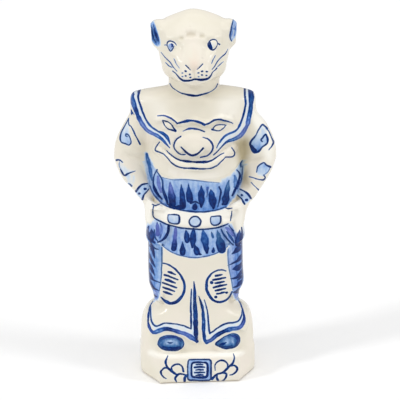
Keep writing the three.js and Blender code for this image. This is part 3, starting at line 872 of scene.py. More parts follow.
dots(FRONT, MIDDLE_DOTS, 1.3, 0.9)
dots(FRONT, PALE_DOTS, 1, 0.65)
blushes.append((FRONT, NOSE_BLUSH, 2.5))
print("strokes so far:", len(strokes))

# %% [markdown]
# ## Painting the cape and the beast
#
# A thick and a thin line run side by side along the cape's hem, with a pale strip between them. The
# beast's face is drawn over its carving: brow, eyes, bridge, nostrils, and a double lip that ends in
# knobs.

# %% The neck ring and the cape's bands
HEM_STRIP_LEFT = [(133.5, 91), (139, 91), (138.6, 99), (143, 113), (151.5, 126.5), (163.8, 133.5),
    (170.5, 144), (166, 143), (156.2, 135), (145.9, 128), (137, 112), (134, 100)]
HEM_STRIP_RIGHT = [(245.5, 91), (249.5, 91), (250, 104), (247, 121), (240, 134), (227, 140), (217.5, 150),
    (219.3, 143), (227.6, 135), (238.5, 127.5), (244.5, 110)]
HEM = {
    "left outer": ([(131.8, 90.4), (132.3, 98.4), (134, 104.4), (136.7, 112), (138.8, 117.9),
        (142.1, 123.9), (145.9, 128.8), (150.8, 132.6), (156.2, 135.3), (161.1, 138.5), (165.4, 142.9),
        (169.7, 147.8)], (4.2, 4.4, 4.2, 3.8, 3.4, 2.8, 1), (1, 0.74, 0.86, 0.62, 0.58, 0.68, 0.62),
        (0, 0, 0, 0.5, 0.6, 0, 0.5)),
    "left inner": ([(139.9, 89.4), (138.3, 94.6), (138.5, 99.5), (140.7, 106), (143.4, 114.1),
        (147.2, 121.7), (151.9, 127.2), (157.8, 131), (163.8, 134.2), (167.6, 138.5), (170.3, 144)],
        (1.6, 1.7, 1.8, 1.9, 1.7, 1.9, 3, 1.2), (0.95, 0.92, 0.85, 0.8, 0.66, 0.66, 0.8, 0.7)),
    "right inner": ([(244.8, 89), (244.8, 95.1), (245.7, 103), (244.5, 110.3), (242.1, 119.4),
        (238.5, 127.3), (234.2, 131.5), (227.6, 134.5), (222.7, 138.2), (219.1, 143), (216.7, 147.9)],
        (1.7, 2, 2, 1.9, 1.8, 2, 0.9), (0.98, 0.82, 0.9, 0.78, 0.62, 0.7, 0.62)),
    "right outer": ([(250.2, 89.4), (251.4, 98.2), (251, 105.4), (249.8, 113.9), (248, 122.4),
        (244.9, 129.7), (240.1, 135.7), (233.6, 139.4), (227.6, 141.4), (222.7, 145.4), (218.5, 150.3),
        (213.6, 155.1)], (4.2, 4.6, 4.4, 4.2, 3.8, 3.2, 1.4, 1),
        (1, 0.86, 0.8, 0.64, 0.56, 0.7, 0.8, 0.85), (0, -0.6, -0.3, 0.5, 0.8, -0.2, 0, 0)),
}
brush(FRONT, NECK_RING, (0.8, 0.8, 1.8, 2, 0.8, 0.8), (0.92, 0.8, 0.98, 0.98, 0.75, 0.9))
wash(FRONT, HEM_STRIP_LEFT, 0.08)
wash(FRONT, HEM_STRIP_RIGHT, 0.08)
paint(FRONT, HEM)

# %% The beast's face
BEAST = {
    "left brow": (BROW_LEFT, (0.9, 1.5, 1.7, 1.6), (0.6, 0.75, 0.85), (0.3, 0.8, 0.2)),
    "middle brow": (BROW_MIDDLE, (1.8, 2.4, 2.2, 2.3, 2.1), (0.92, 0.86, 0.92)),
    "right brow": (BROW_RIGHT, (1.7, 1.7, 2, 1.5, 0.9), (0.9, 0.9, 0.75)),
    "left eye, upper": ([(162.6, 120.7), (167, 121.5), (170.8, 123.9), (173.5, 127.7), (175.6, 131)],
        (1.4, 1.1, 1.3, 2.2), 0.97),
    "left eye, lower": ([(162.6, 120.7), (164.7, 125.4), (168.2, 128.8), (171.8, 130), (175.6, 131)],
        (1.4, 1, 1.4, 2.2), 0.97),
    "right eye, upper": ([(212.2, 129.6), (214.8, 126.2), (219.1, 124.7), (226, 125.2)],
        (1.6, 1, 1.1, 0.9), 0.9),
    "right eye, lower": ([(212.2, 129.6), (219.1, 130.9), (222.7, 128.7), (226, 125.2)],
        (1.6, 1.1, 1.1, 0.9), 0.9),
    "bridge": (BRIDGE_FOLD, (0.8, 1.7, 1.8, 1.4, 1.1), (0.6, 0.76, 0.8, 0.88), (0.4, 0.3, 0)),
    "left wing": (NOSE_WING_LEFT, (1.1, 1.5, 1.3, 1.3, 1.1), 0.86),
    "right wing": (NOSE_WING_RIGHT, (1, 1.6, 1.6, 1.4, 1.1), (0.7, 0.85, 0.8, 0.75), 0.4),
    "snout": (SNOUT, (1.4, 1.8, 2.3, 2.3, 2, 1.8), 1),
    "upper lip": (UPPER_LIP, (0.9, 1.3, 2.1, 2.3, 2.3, 1.3, 0.9), (0.8, 0.92, 1, 1, 0.92, 0.8)),
    "lower lip": (LOWER_LIP, (0.9, 1.3, 1.4, 1.7, 1.5, 1.3, 0.9), (0.8, 0.92, 0.88, 0.92, 0.82, 0.78)),
    "left knob": (KNOB_LEFT, (0.8, 1.2, 1.3, 1.1), 0.9),
    "right knob": (KNOB_RIGHT, (0.9, 1.3, 1.3, 1.1), 0.88, 0.3),
}
paint(FRONT, BEAST)

# %% [markdown]
# ## Painting the sleeves
#
# Each sleeve has a rolled cloud above the elbow and loose scraps of cloud below it, outlined with the
# brush's tip and filled with a wash. The cuffs are a pale band between two lines, with rivets.

# %% Clouds on the sleeves
CLOUD_FILLS = {
    "upper left": ([(128.6, 119), (123.1, 128.8), (120.6, 137), (121.5, 142), (129, 144), (130.6, 139),
        (129, 130)], (0.05, 0.24), 0.2),
    "upper right": ([(266, 128), (262.1, 125.5), (258.5, 130), (251.4, 141.2), (251, 147), (254.6, 151.8),
        (259.5, 150.6), (263, 146), (266.5, 143), (267.4, 138)], (0.08, 0.18, 0.45)),
    "lower left": ([(118.6, 162), (123, 163), (127, 168), (133, 171), (126, 174), (121, 169)],
        (0.04, 0.12)),
    "lower right": ([(258.5, 167), (263.3, 163.4), (266.3, 165.5), (270, 167.2), (265, 175), (258, 176)],
        (0.3, 0.14)),
    "lowest left": ([(126, 175.6), (131, 174.4), (135.5, 176), (134, 183), (130, 187), (126.6, 182)],
        (0.12, 0.06)),
}
CLOUDS = {
    "upper left scroll": ([(128.6, 117.9), (126.4, 122.8), (123.1, 128.8), (120.8, 134.2), (120.2, 139.1),
        (121.5, 142.3), (125.3, 143.7), (129.1, 144.8), (130.9, 141.8), (130.1, 138), (128.2, 134.9),
        (126.4, 134), (125.8, 135.8), (127.2, 136.6)], (0.9, 1.1, 1.4, 1.5, 1.4, 1.2, 1.1),
        (0.85, 0.9, 0.8, 0.7)),
    "upper left tail": ([(128.6, 118.5), (128.8, 124), (131.3, 126.6), (134, 132), (136.7, 137.5),
        (140.2, 144.2)], (1, 1.2, 1.5, 1.3, 1.7), (0.7, 0.8, 0.92)),
    "upper right scroll": ([(267.5, 128.4), (265, 126.4), (262.1, 124.7), (258.5, 129.7), (255.4, 135.7),
        (251.2, 141.2), (250.5, 145.4), (254.2, 152), (259.1, 151.2), (262.7, 146.6), (266.7, 143.6),
        (267.7, 140), (266.6, 135.9), (265.1, 134.5), (262.7, 137.6), (261.1, 140), (262.4, 141.4)],
        (1.8, 1.4, 1.2, 1.4, 2.2, 3.2, 1.8, 1.4, 1.8, 1.6, 1.4),
        (0.85, 0.8, 0.85, 1, 0.9, 0.85, 0.9, 0.8)),
    "upper right pool": ([(252, 146), (254.6, 150.6)], (2.2, 3.6), (0.85, 1)),
    "upper right tail": ([(266.4, 128), (269.4, 132.1), (271.8, 138.2), (273.4, 142.4), (271.8, 146),
        (268.8, 149.7)], (1.4, 1, 1.4, 1.5, 0.8), (0.7, 0.7, 0.92, 0.6)),
    "left hook": ([(116.6, 160.1), (119.2, 159.8), (122.6, 162.4)], (1.6, 1.4, 0.9), (0.9, 0.7), -0.3),
    "left wave": ([(120.3, 169.3), (122.6, 173.3), (125.2, 175.3), (128.9, 173.3), (133, 171.6),
        (135.3, 171)], (1.2, 1.8, 1.6, 1.1, 0.7), (0.92, 0.97, 0.6)),
    "left link": ([(119.6, 161.4), (119.2, 165), (120.6, 169.6)], (0.6, 0.9, 0.6), 0.3, 0.4),
    "right link": ([(270.4, 166.9), (268, 171.6), (264.2, 175)], (0.9, 1, 0.8), (0.5, 0.3, 0.4), 0.3),
    "left comma": ([(128.8, 183.4), (131.4, 186)], (1, 1.7), 0.85),
    "right hook": ([(256.8, 171.9), (258, 166.3), (263.3, 162.7), (266.3, 164.8), (270.4, 166.9)],
        (1, 1.4, 1.4, 2.2), (0.6, 0.8, 0.85, 0.97)),
    "right wave": ([(249.4, 176.8), (254.2, 178.2), (259.7, 179.6), (263.3, 179.9), (265.1, 177.6),
        (263.6, 174.9)], (1.6, 1.1, 1.4, 1.7, 1.4, 1), (0.5, 0.7, 0.92, 0.88), (0.9, 0.3, 0)),
    "right comma": ([(251.2, 182.4), (255, 186.4), (258.4, 190)], (0.8, 0.8, 1.5), (0.6, 0.6, 0.88)),
}
for outline, tone, *tint in CLOUD_FILLS.values():
    wash(FRONT, outline, tone, *tint)
paint(FRONT, CLOUDS)

# %% Cuffs
CUFF_RIVETS = {2.4: [(145.4, 189), (246.4, 200)], 1.8: [(139.3, 193.4)], 2.0: [(242, 195)]}
CUFFS = {
    "left upper": ([(135.8, 191.4), (138.7, 187.8), (142.1, 184.8), (147.3, 183.3)], (2, 1.8, 1.6), 0.97),
    "left lower": ([(142.5, 199.4), (143.9, 195.1), (146.7, 191.7), (149, 188.8)], (1.9, 1.4, 1),
        (0.95, 0.85)),
    "right upper": ([(240.3, 189.1), (244.5, 191.3), (248.2, 194.3), (250.8, 198.2)], (1.3, 1.7, 2.3),
        (0.85, 0.98)),
    "right lower": ([(237.3, 195.1), (241.5, 198.8), (244.7, 204.2)], (1, 1.4, 2), (0.8, 0.97)),
}
for cuff in CUFF_PATCHES:
    wash(FRONT, cuff, 0.2, 0.1)
paint(FRONT, CUFFS)
for size, places in CUFF_RIVETS.items():
    dots(FRONT, places, size, 0.92)

# %% [markdown]
# ## Painting the gathered cloth
#
# The cloth of the waist and the apron under the belt have a wash, and over it rows of long drops that
# stand for their folds. The drops are where most of the cobalt is: pale where the brush was set down and
# nearly black where it was lifted.

# %% The cloth of the waist
WAIST_CLOTH = [(145.6, 153.1), (150.2, 160), (153.6, 166.8), (157, 170.3), (160.5, 176), (167.4, 179.5),
    (178.9, 178.9), (196.1, 180), (209.9, 182.3), (219.1, 182.9), (228.2, 177.2), (236.3, 169.1),
    (243.2, 160.5), (242.5, 178.3), (238.6, 191), (231.7, 200), (225.9, 207.5), (215.6, 210.8),
    (201.8, 212.4), (188.1, 211.8), (174.3, 208.4), (161.7, 202.6), (153.5, 195.5), (148.6, 184.1),
    (145.8, 168)]
LEFT_FLANK = [(145.6, 153.1), (150.2, 160), (154, 168), (158, 174), (163, 184), (167, 203), (159, 199),
    (151.5, 188), (147, 172)]
RIGHT_FLANK = [(243.2, 160.5), (237, 169), (231.6, 176), (229.6, 186), (227.6, 202), (234, 196), (240, 184),
    (243, 172)]
WAIST_DROPS = {
    "first": ((170, 182.4), (172.6, 204), 7.2, LEAF, (0.42, 0.5, 0.75, 0.97, 1), (0.9, 0.8, 0.3, 0)),
    "second": ((181.2, 184.6), (183, 206), 5.8, LEAF, (0.7, 0.9, 1)),
    "third": ((188.4, 183.6), (189.8, 199.6), 6.6, WEDGE, (0.62, 0.85, 1)),
    "fourth": ((201.2, 186), (201.4, 207), 6.4, LOZENGE, (0.7, 0.88, 1)),
    "fifth, short": ((195.4, 203), (194.6, 207.6), 4.2),
    "sixth": ((210.8, 189.6), (213.6, 208), 6.8, LOZENGE, (0.7, 0.9, 1)),
    "seventh": ((228.8, 180.6), (225.2, 202.6), 6.6, LEAF, (0.35, 0.45, 0.8, 1, 1), (-0.9, -0.9, -0.5)),
}
WAIST_STROKES = {
    "pool between drops": ([(170.6, 205), (175, 207.6), (181.6, 207)], (3.6, 4.6, 4), 1),
    "bar between drops": ([(190.6, 202.6), (196, 201.8), (199.4, 203.6)], (2.2, 1.8, 1.2), 0.97),
    "foot pool": ([(222.6, 204), (224.4, 203)], (2.2, 3), 1, -0.4),
    "thin line": ([(219.3, 187), (220.8, 192), (220, 198), (217.8, 207)], (1.2, 2, 1.6, 0.9),
        (0.85, 0.95, 0.7)),
    "faint line": ([(207.4, 188), (207, 197)], (2, 0.8), 0.5, 0.4),
    "left band": ([(146.8, 154), (148.4, 162), (150.6, 172), (152, 180)], (2.6, 3.6, 3.4, 2),
        (0.5, 0.45, 0.5, 0.4), -0.3),
    "left flash": ([(149.2, 168.6), (149.8, 172.4), (150.4, 176.4)], (0.8, 1.6, 0.8), 0.85),
    "spindle's outer side": ([(157, 169.8), (154.2, 175.6), (153.4, 183), (156, 191.8), (161.8, 199)],
        (1.6, 1.4, 2, 2.8, 2.6, 1.4), (0.8, 0.75, 0.9, 1, 1)),
    "spindle's inner side": ([(157.2, 172), (160.6, 177), (162.6, 182), (163, 189.6), (166.2, 199),
        (167.8, 204)], (1, 1.6, 1.6, 2.2, 2.8, 1.8), (0.6, 0.7, 0.8, 0.95, 1), -0.4),
    "spindle's lilac": ([(157.6, 177), (159, 185), (161, 192)], (2.4, 3.2, 1.8), 0.32, 0.9),
    "left contour": ([(150, 186), (153.4, 194), (160.5, 202), (168, 206.6)], (0.8, 1.2, 1.1),
        (0.4, 0.5, 0.55), 0.5),
    "right tip": ([(242.2, 160.6), (240.8, 163.6), (241, 167)], (1, 1.8, 1), (0.5, 0.75)),
    "right hook": ([(236.8, 170), (239, 172.4), (239.8, 176.4), (238.9, 180)], (1, 2, 2, 1.6),
        (0.7, 0.97, 1)),
    "right arc": ([(239, 178.4), (236.8, 186.4), (232.2, 195.4)], (1.4, 3, 2.8, 1.4), (0.9, 1, 1)),
    "right streak": ([(234.8, 175.6), (235.4, 181), (234.8, 187)], (2, 3.6, 1.8), 0.42, -0.2),
    "right contour": ([(242.6, 166), (241.6, 178), (237.6, 189)], (1, 1.4, 1), 0.42, 0.4),
    "top edge": ([(160.5, 176.6), (170, 179.4), (185, 179.6), (203, 181.4), (219, 183)], 0.7, 0.34),
    "belt edge": (BELT_TOP, (0.9, 1.3, 1.5, 1.4, 1), (0.6, 0.85, 0.85, 0.7)),
}
wash(FRONT, WAIST_CLOTH, (0.34, 0.22, 0.34, 0.48), (0.3, 0.1, 0))
wash(FRONT, LEFT_FLANK, (0.34, 0.26, 0.34), (-0.2, 0.3), 1.6)
wash(FRONT, RIGHT_FLANK, (0.27, 0.22, 0.3), (-0.3, 0.2), 1.6)
for waist_drop in WAIST_DROPS.values():
    drop(FRONT, *waist_drop)
paint(FRONT, WAIST_STROKES)

# %% The belt and its plaques
BELT = {
    "lower edge": (BELT_FOOT, (1, 1.3, 1.4, 1.4, 1.5, 1.4, 1.4, 1),
        (0.8, 0.92, 0.92, 0.95, 0.92, 0.85)),
    "right end": ([(231.8, 211.3), (231.4, 216), (230.5, 220.6)], (1, 1.2, 1), 0.85),
    "left thumb": ([(152.4, 204.3), (155.8, 205.5), (159.6, 204.1)], (0.9, 1.3, 0.9), 0.88),
    "right thumb": ([(225.9, 207.9), (228.7, 208.6), (232.1, 208.2)], (0.9, 1.4, 0.9), 0.92),
}
paint(FRONT, BELT)
for plaque in (PLAQUE_LEFT, PLAQUE_RIGHT):
    wash(FRONT, plaque, (0.12, 0.26), 0.3)
    brush(FRONT, [*plaque, plaque[0]], (0.9, 1.2, 1.7, 1.5, 1, 0.9), (0.85, 0.95, 1, 0.95, 0.85))
wash(FRONT, STUD, 0.16, 0.1)
brush(FRONT, [*STUD, STUD[0]], (1.5, 1.8, 1.5, 1.3, 1.6), 0.98)
print("strokes so far:", len(strokes))

# %% The apron and the sash
APRON = [(157, 218.6), (167, 224.6), (181, 228), (199.8, 229.5), (211.5, 228.8), (228.3, 224), (233, 229),
    (236, 243), (228.5, 245.5), (223.5, 250.8), (216.8, 253.4), (209.1, 255.7), (202, 257.2),
    (192.4, 258.1), (187.8, 257.2), (180.7, 255.7), (175.4, 253.8), (169.7, 251.4), (164.9, 248.1),
    (160, 243.2), (152.6, 240), (152, 226)]
LEFT_LOBE = [(155, 219.6), (160, 221.6), (168.4, 226), (168, 233), (163, 240), (155, 243.4), (148, 240),
    (147, 226), (151, 224.5)]
RIGHT_LOBE = [(221, 228), (230, 223.6), (232.6, 227), (237.6, 234), (242.4, 232.6), (242.4, 240),
    (238, 245.4), (231, 246.4), (225, 240)]
APRON_DROPS = {
    "first": ((175.8, 227.4), (173.8, 248.6), 5.2, HEAVY_FOOT, (0.5, 0.5, 0.55, 0.9, 1),
        (1, 1, 0.7, 0.2)),
    "second, black": ((182.4, 241.4), (182.8, 253), 5.2, WEDGE, (0.85, 1), -0.3),
    "third, above": ((186, 229.4), (187, 240.6), 4.8, LEAF, (0.75, 0.95)),
    "fourth": ((193.4, 228), (192.6, 247), 6.4, LOZENGE, (0.85, 0.9, 1)),
    "fourth's foot": ((194, 243), (197.2, 252.6), 5, WEDGE, (0.95, 1)),
    "fifth": ((202.8, 229.4), (207, 252.6), 6.8, LOZENGE, (0.5, 0.68, 0.85, 1), (0, -0.3)),
    "small, grey": ((211.4, 231.6), (212.9, 237.4), 2.8, LEAF, 0.5, -0.6),
    "small, dark": ((213.6, 247.6), (213.2, 251.4), 3.2, LEAF, 0.92),
    "sixth": ((217.2, 230.6), (221.8, 249), 8, LEAF, (0.32, 0.42, 0.62, 0.97, 1), (-1, -1, -0.6)),
    "left lobe, lilac": ((157.2, 222), (157.8, 234), 4.4, LEAF, (0.45, 0.55), 0.9),
    "left lobe, dark": ((151.4, 229), (151.8, 239.4), 6, LEAF, (0.8, 1)),
    "right lobe, dark": ((239.8, 230), (237.4, 244), 5.8, LEAF, (0.85, 1)),
}
APRON_STROKES = {
    "lower edge": ([(162, 245.2), (169.7, 251.2), (180.7, 255.5), (192.4, 257.8), (202, 257),
        (216.8, 253.2), (227.4, 246.7)], (0.8, 1.1, 1, 1.1, 0.8), (0.34, 0.42, 0.38), 0.2),
    "arm of the third": ([(187, 238.4), (189.6, 239.4), (192, 239)], (2.8, 3, 2.4), 0.95),
    "end of the fourth": ([(197.6, 252), (199.4, 253.8), (201, 254.6)], (3, 2.8, 1.6), 1),
    "left lobe's edge": ([(168.7, 225.4), (168.4, 230.6), (166, 236.4), (162, 240.2), (157.6, 242.4)],
        (2.6, 2.8, 2.8, 2.2, 1.2), (1, 0.97, 0.9)),
    "left lobe's fold": ([(160.6, 223.4), (161.8, 230), (160, 238)], (1.4, 2.6, 1.2), 0.34, 0.6),
    "left contour": ([(148.4, 226.6), (147.8, 232), (150, 239), (154.6, 242.6)], (1.6, 2.6, 3.2, 2),
        (0.8, 0.97, 0.9)),
    "left streak": ([(154.4, 230), (154.6, 236), (157.4, 241)], (1.2, 2, 1.4), 0.7, -0.2),
    "right lobe's edge": ([(221.4, 229.4), (224.6, 235.4), (228.6, 240.6), (233.4, 245)],
        (1.2, 1.8, 1.8, 1.2), (0.6, 0.85), -0.6),
    "right lobe's fold": ([(226.6, 231.6), (230.4, 237), (234.2, 242.6)], (1, 2, 2.6, 1.4), (0.5, 0.9),
        -0.5),
    "right lobe's lilac": ([(226, 227.6), (230, 231.4), (233, 236)], (2, 3.4, 1.6), 0.36, 1),
    "right lobe's second fold": ([(232.4, 229.6), (235, 236), (236, 243)], (1.4, 2, 1.2), 0.6, 0.4),
    "right top": ([(229.2, 225.6), (233, 230.9)], (1, 1.8), 0.85),
    "right contour": ([(241.8, 227.6), (242, 235), (240.4, 243)], (1.2, 2.2, 2), 0.95),
}
wash(FRONT, APRON, (0.2, 0.26, 0.3, 0.3), (0.3, 0.1, 0.1))
wash(FRONT, LEFT_LOBE, (0.22, 0.3, 0.34), (0.5, 0.1), 1.4)
wash(FRONT, RIGHT_LOBE, (0.22, 0.34), (0.8, 0.2), 1.4)
for apron_drop in APRON_DROPS.values():
    drop(FRONT, *apron_drop)
paint(FRONT, APRON_STROKES)

# %% [markdown]
# ## Painting the armour plates and the robe
#
# The plates at the hips are striped like a tiger. On each thigh is a ring with a column of short bars in
# it. The robe's front flaps have the same pair of lines along their edges as the cape.

# %% Hip plates
PLATE_LEFT = [(148.2, 240), (156, 243), (162.2, 247), (161.9, 262), (161.2, 281), (159.6, 291),
    (158, 298.6), (156.4, 299.6), (152.4, 294), (150, 286), (148.8, 270), (148.4, 254)]
PLATE_RIGHT = [(241.8, 242), (234, 245), (227.6, 249), (228, 264), (230.4, 276), (232.4, 289), (235, 298),
    (236.6, 299.8), (239, 296), (241.2, 289), (242.3, 276), (242.3, 258)]
OUTER_LEFT = [(148, 242), (152, 243), (155.4, 256), (156, 272), (157, 286), (158, 297), (152, 293),
    (149, 278)]
OUTER_RIGHT = [(242, 243), (236, 247), (234, 260), (235.6, 276), (236, 290), (237.4, 298), (241, 290),
    (243, 270)]
TIP_LEFT = [(153, 291), (158, 291), (156.6, 299.6), (153.6, 297)]
TIP_RIGHT = [(233.4, 293), (239.6, 293), (238, 299), (235.6, 299)]
STRIPE_BRUSH = 0.86
STRIPES = {
    "left first": ([(150.6, 241.4), (152.4, 248.6), (154.6, 258)], (2, 3.6, 4.4, 3.2, 0.8)),
    "left branch": ([(152.4, 246.4), (155.4, 248.4), (158.4, 249.4)], (1.8, 1.6, 0.7)),
    "left second": ([(148.8, 252.4), (151.8, 260.4), (155.2, 267)], (1.8, 2.8, 3, 1)),
    "left third": ([(149, 263.2), (151.8, 269.2), (154.5, 275.2)], (2, 3.2, 3, 0.9)),
    "left fourth": ([(149.4, 272.8), (153, 279.4), (160.4, 282.9)], (2.2, 3.4, 2, 1.5, 0.8)),
    "left fifth": ([(150, 281.6), (153, 287.6), (158.4, 290.4)], (2.2, 3.4, 2.2, 0.9)),
    "left sixth": ([(151.2, 289.6), (153.4, 294.6), (156.8, 296.6)], (2.4, 3.8, 2.6, 1)),
    "right first": ([(241.4, 245.8), (236.8, 250.4), (231.8, 254)], (2.2, 4.8, 5.2, 3.4, 0.8)),
    "right second": ([(242, 253.8), (237.6, 260.6), (227.8, 265.5)], (2, 3.4, 2.4, 1.6, 0.6)),
    "right third": ([(242.2, 261.8), (238.2, 267.4), (233, 269)], (1.8, 3.2, 6.2, 5.2, 2)),
    "right fourth": ([(242, 269.6), (237.6, 276.8), (230.4, 279.1)], (1.8, 3.4, 2.6, 0.8)),
    "right fifth": ([(242, 275.2), (239.8, 278), (237.6, 279.8)], (1.8, 2.6, 1)),
    "right sixth": ([(241.9, 280), (237.4, 286), (232.6, 287.8)], (2, 3.8, 2.6, 0.9)),
    "right seventh": ([(241.4, 287.6), (237.4, 291.2), (233.4, 292.4)], (2.6, 4.6, 3.8, 1.4)),
}
PLATE_EDGES = {
    "left contour": ([(148.2, 242), (148.2, 258), (148.8, 272), (151.2, 288), (154, 297)],
        (1.2, 1.6, 1.4, 1.6, 1), (0.7, 0.9, 0.7, 0.85)),
    "left inner edge": ([(162, 247.4), (161.8, 264), (161, 281), (159.4, 291)], (1.2, 1.4, 1, 0.7),
        (0.4, 0.3), -1),
    "right contour": ([(242.2, 244), (242.4, 262), (242.2, 278), (240.6, 290)], (1, 1.4, 1.4, 0.8),
        (0.6, 0.8, 0.7)),
    "right inner edge": ([(227.8, 249.4), (228.2, 264), (230.8, 277), (233, 290)], (0.9, 0.9, 0.6), 0.24,
        -0.6),
}
wash(FRONT, PLATE_LEFT, (0.36, 0.26, 0.3), (-0.3, -0.2, 0.5))
wash(FRONT, PLATE_RIGHT, (0.28, 0.28, 0.34), (0.3, 0.7, 0.4, 0.8))
wash(FRONT, OUTER_LEFT, (0.5, 0.44, 0.5), (-0.1, 0.1), 2.2)
wash(FRONT, OUTER_RIGHT, (0.44, 0.5), (0, 0.3), 2.6)
wash(FRONT, TIP_LEFT, 0.36, 0.9, 1.6)
wash(FRONT, TIP_RIGHT, 0.4, 1, 1.6)
paint(FRONT, PLATE_EDGES)
for marks, widths in STRIPES.values():
    brush(FRONT, marks, np.array(widths) * STRIPE_BRUSH, (0.85, 0.97, 0.9), -0.2)
print("strokes so far:", len(strokes))

# %% Rings on the thighs, with a column of bars in each
RINGS = {
    "left": ([(162.6, 263), (167.5, 264.3), (174, 268.1), (179.5, 273.6), (183.2, 280.6), (184.6, 287.1),
        (183.8, 292.5), (180.5, 297.9), (176.2, 301.7), (170.8, 303.1), (165.4, 301.2), (161.2, 297.4)],
        (1.2, 1.6, 2.1, 2.4, 2.5, 2.8, 1.5), (0.8, 0.88, 0.92, 0.84, 0.97, 0.8), (0, -0.4, 0)),
    "right": ([(226, 270.8), (222.5, 270), (217.1, 270.6), (211.7, 273.6), (207.9, 278.4), (206.5, 284.4),
        (206.8, 290.4), (209.5, 295.8), (213.3, 300.1), (218.7, 302), (224.7, 300.7), (229, 297.4),
        (232.3, 292)], (1.2, 1.6, 2.3, 2.6, 2.4, 2, 1.4), (0.72, 0.88, 0.9, 0.92, 0.76), (0, -0.4, 0)),
}
RING_BARS = {"left": ((170, 283.2), 0.36, 7, 4), "right": ((219.8, 284.2), -0.2, 6.4, 3.6)}
BAR_LENGTHS = [0.5, 0.95, 0.7, 1, 0.8, 0.6]
COLUMN_LEAN = 0.6
RING_DOTS = {2.6: [(211.8, 282.6), (215.7, 297)], 1.8: [(226.8, 292.6)]}
paint(FRONT, RINGS)
for centre, lean, half, step in RING_BARS.values():
    for row, length in enumerate(BAR_LENGTHS):
        down = (row - (len(BAR_LENGTHS) - 1) / 2) * step
        middle = np.array([centre[0] - lean * down * COLUMN_LEAN, centre[1] + down])
        side = half * length * np.array([1, lean])
        brush(FRONT, [middle - side, middle, middle + side], (1.8, 2.1, 2, 1.4), (0.92, 1, 0.85), -0.4)
for size, places in RING_DOTS.items():
    dots(FRONT, places, size, 0.97)
print("strokes so far:", len(strokes))

# %% The edges of the two front flaps
FLAP_STRIP_LEFT = [(192.3, 290), (195, 300), (196.2, 338), (190.5, 334), (178, 330), (165.4, 327),
    (156, 330), (151.6, 326), (149.6, 316), (151.6, 308), (152.5, 319), (156.7, 325), (164.8, 322.6),
    (181.1, 324.6), (191, 328), (191.4, 300)]
FLAP_STRIP_RIGHT = [(201.6, 300), (204.8, 320), (204.9, 338), (206.6, 340.4), (214.4, 334.4), (222, 330),
    (236, 327.3), (241.6, 322), (242.6, 313), (241.4, 318), (237, 321.6), (226.9, 323.2), (214.4, 330.2),
    (209.6, 333), (208.4, 318), (206, 306)]
FLAPS = {
    "left slit": ([(193.8, 281.6), (194.4, 287), (194.9, 303.4), (195.4, 314.2), (195.6, 325), (196, 335.9),
        (197, 341.8)], (0.9, 3, 3.5, 3.7, 4, 4, 2.2), (0.88, 0.9, 0.88, 1, 1),
        (-0.4, -0.2, 0, 0)),
    "left hem": ([(197, 341.4), (191.9, 337.7), (186.5, 334.5), (178.4, 331.8), (170.8, 329.6),
        (165.4, 329), (159.4, 330.7), (153.4, 332.4), (150.2, 328.8), (148.3, 322.3), (148.6, 314.2),
        (150.2, 306.1), (152.9, 301.2)], (3.4, 3.8, 3.8, 3.8, 4.2, 3.4, 2.2, 1.6, 0.9),
        (0.95, 0.62, 0.7, 1, 0.64, 0.8, 0.9, 0.82, 0.68), (0, 0.6, 0.3, 0, 0.5, 0.2, 0)),
    "left inner slit": ([(191.3, 289), (190.9, 303.4), (191, 314.2), (191, 328.5)], (1, 1.7, 1.9, 2),
        (0.8, 0.88, 0.95)),
    "left inner hem": ([(191, 328.5), (186.5, 326.9), (181.1, 325), (172.9, 323.7), (164.8, 323.2),
        (160.5, 324.8), (156.7, 326.1), (153.4, 324.5), (151.3, 319.6), (150.5, 311.5), (151, 306)],
        (1.3, 1.3, 1.3, 1.7, 1.4, 0.9), (0.9, 0.86, 0.88, 0.8, 0.7)),
    "right slit": ([(199, 296.4), (201.2, 303.4), (203, 311.5), (203.5, 319.6), (203.7, 330.5),
        (204.6, 339), (206.8, 342)], (0.9, 2.2, 3.2, 3.6, 3.6, 3.4), (0.9, 0.92, 0.84, 0.9, 0.8),
        (-0.5, -0.3, -0.2, 0)),
    "right hem": ([(206.4, 341.8), (210.6, 340.4), (216, 335.9), (222.5, 332.1), (230.7, 329.4),
        (237.7, 328.1), (242, 325), (244, 318.5), (243.1, 311.5), (241, 305), (238.2, 300.1)],
        (3, 3.7, 4, 4, 3.8, 3.4, 2.2, 1.5, 0.9), (0.7, 0.8, 1, 0.62, 0.74, 0.92, 0.82, 0.66),
        (0.5, 0.2, 0, 0.6, 0.4, 0)),
    "right inner slit": ([(204.4, 300), (206.8, 308.8), (208.2, 316.9), (208.7, 325), (209.8, 333.2)],
        (0.9, 1.4, 1.6, 1.7), (0.75, 0.82, 0.88)),
    "right inner hem": ([(209.8, 333.2), (214.4, 330.3), (220.4, 326.1), (226.9, 323.4), (235, 322.1),
        (238.8, 320.4), (241.5, 316.2), (242, 310)], (1.7, 1.5, 1.7, 1.5, 0.9), (0.88, 0.92, 0.82, 0.72)),
}
wash(FRONT, FLAP_STRIP_LEFT, 0.09)
wash(FRONT, FLAP_STRIP_RIGHT, 0.08)
paint(FRONT, FLAPS)

# %% [markdown]
# ## Painting the boots and the plinth
#
# The toes of the boots are loaded with cobalt and left pale where they catch the light. The plinth's
# front has a small square panel between two scrolls of tendrils, and the panel has short bars in it as
# the rings have.

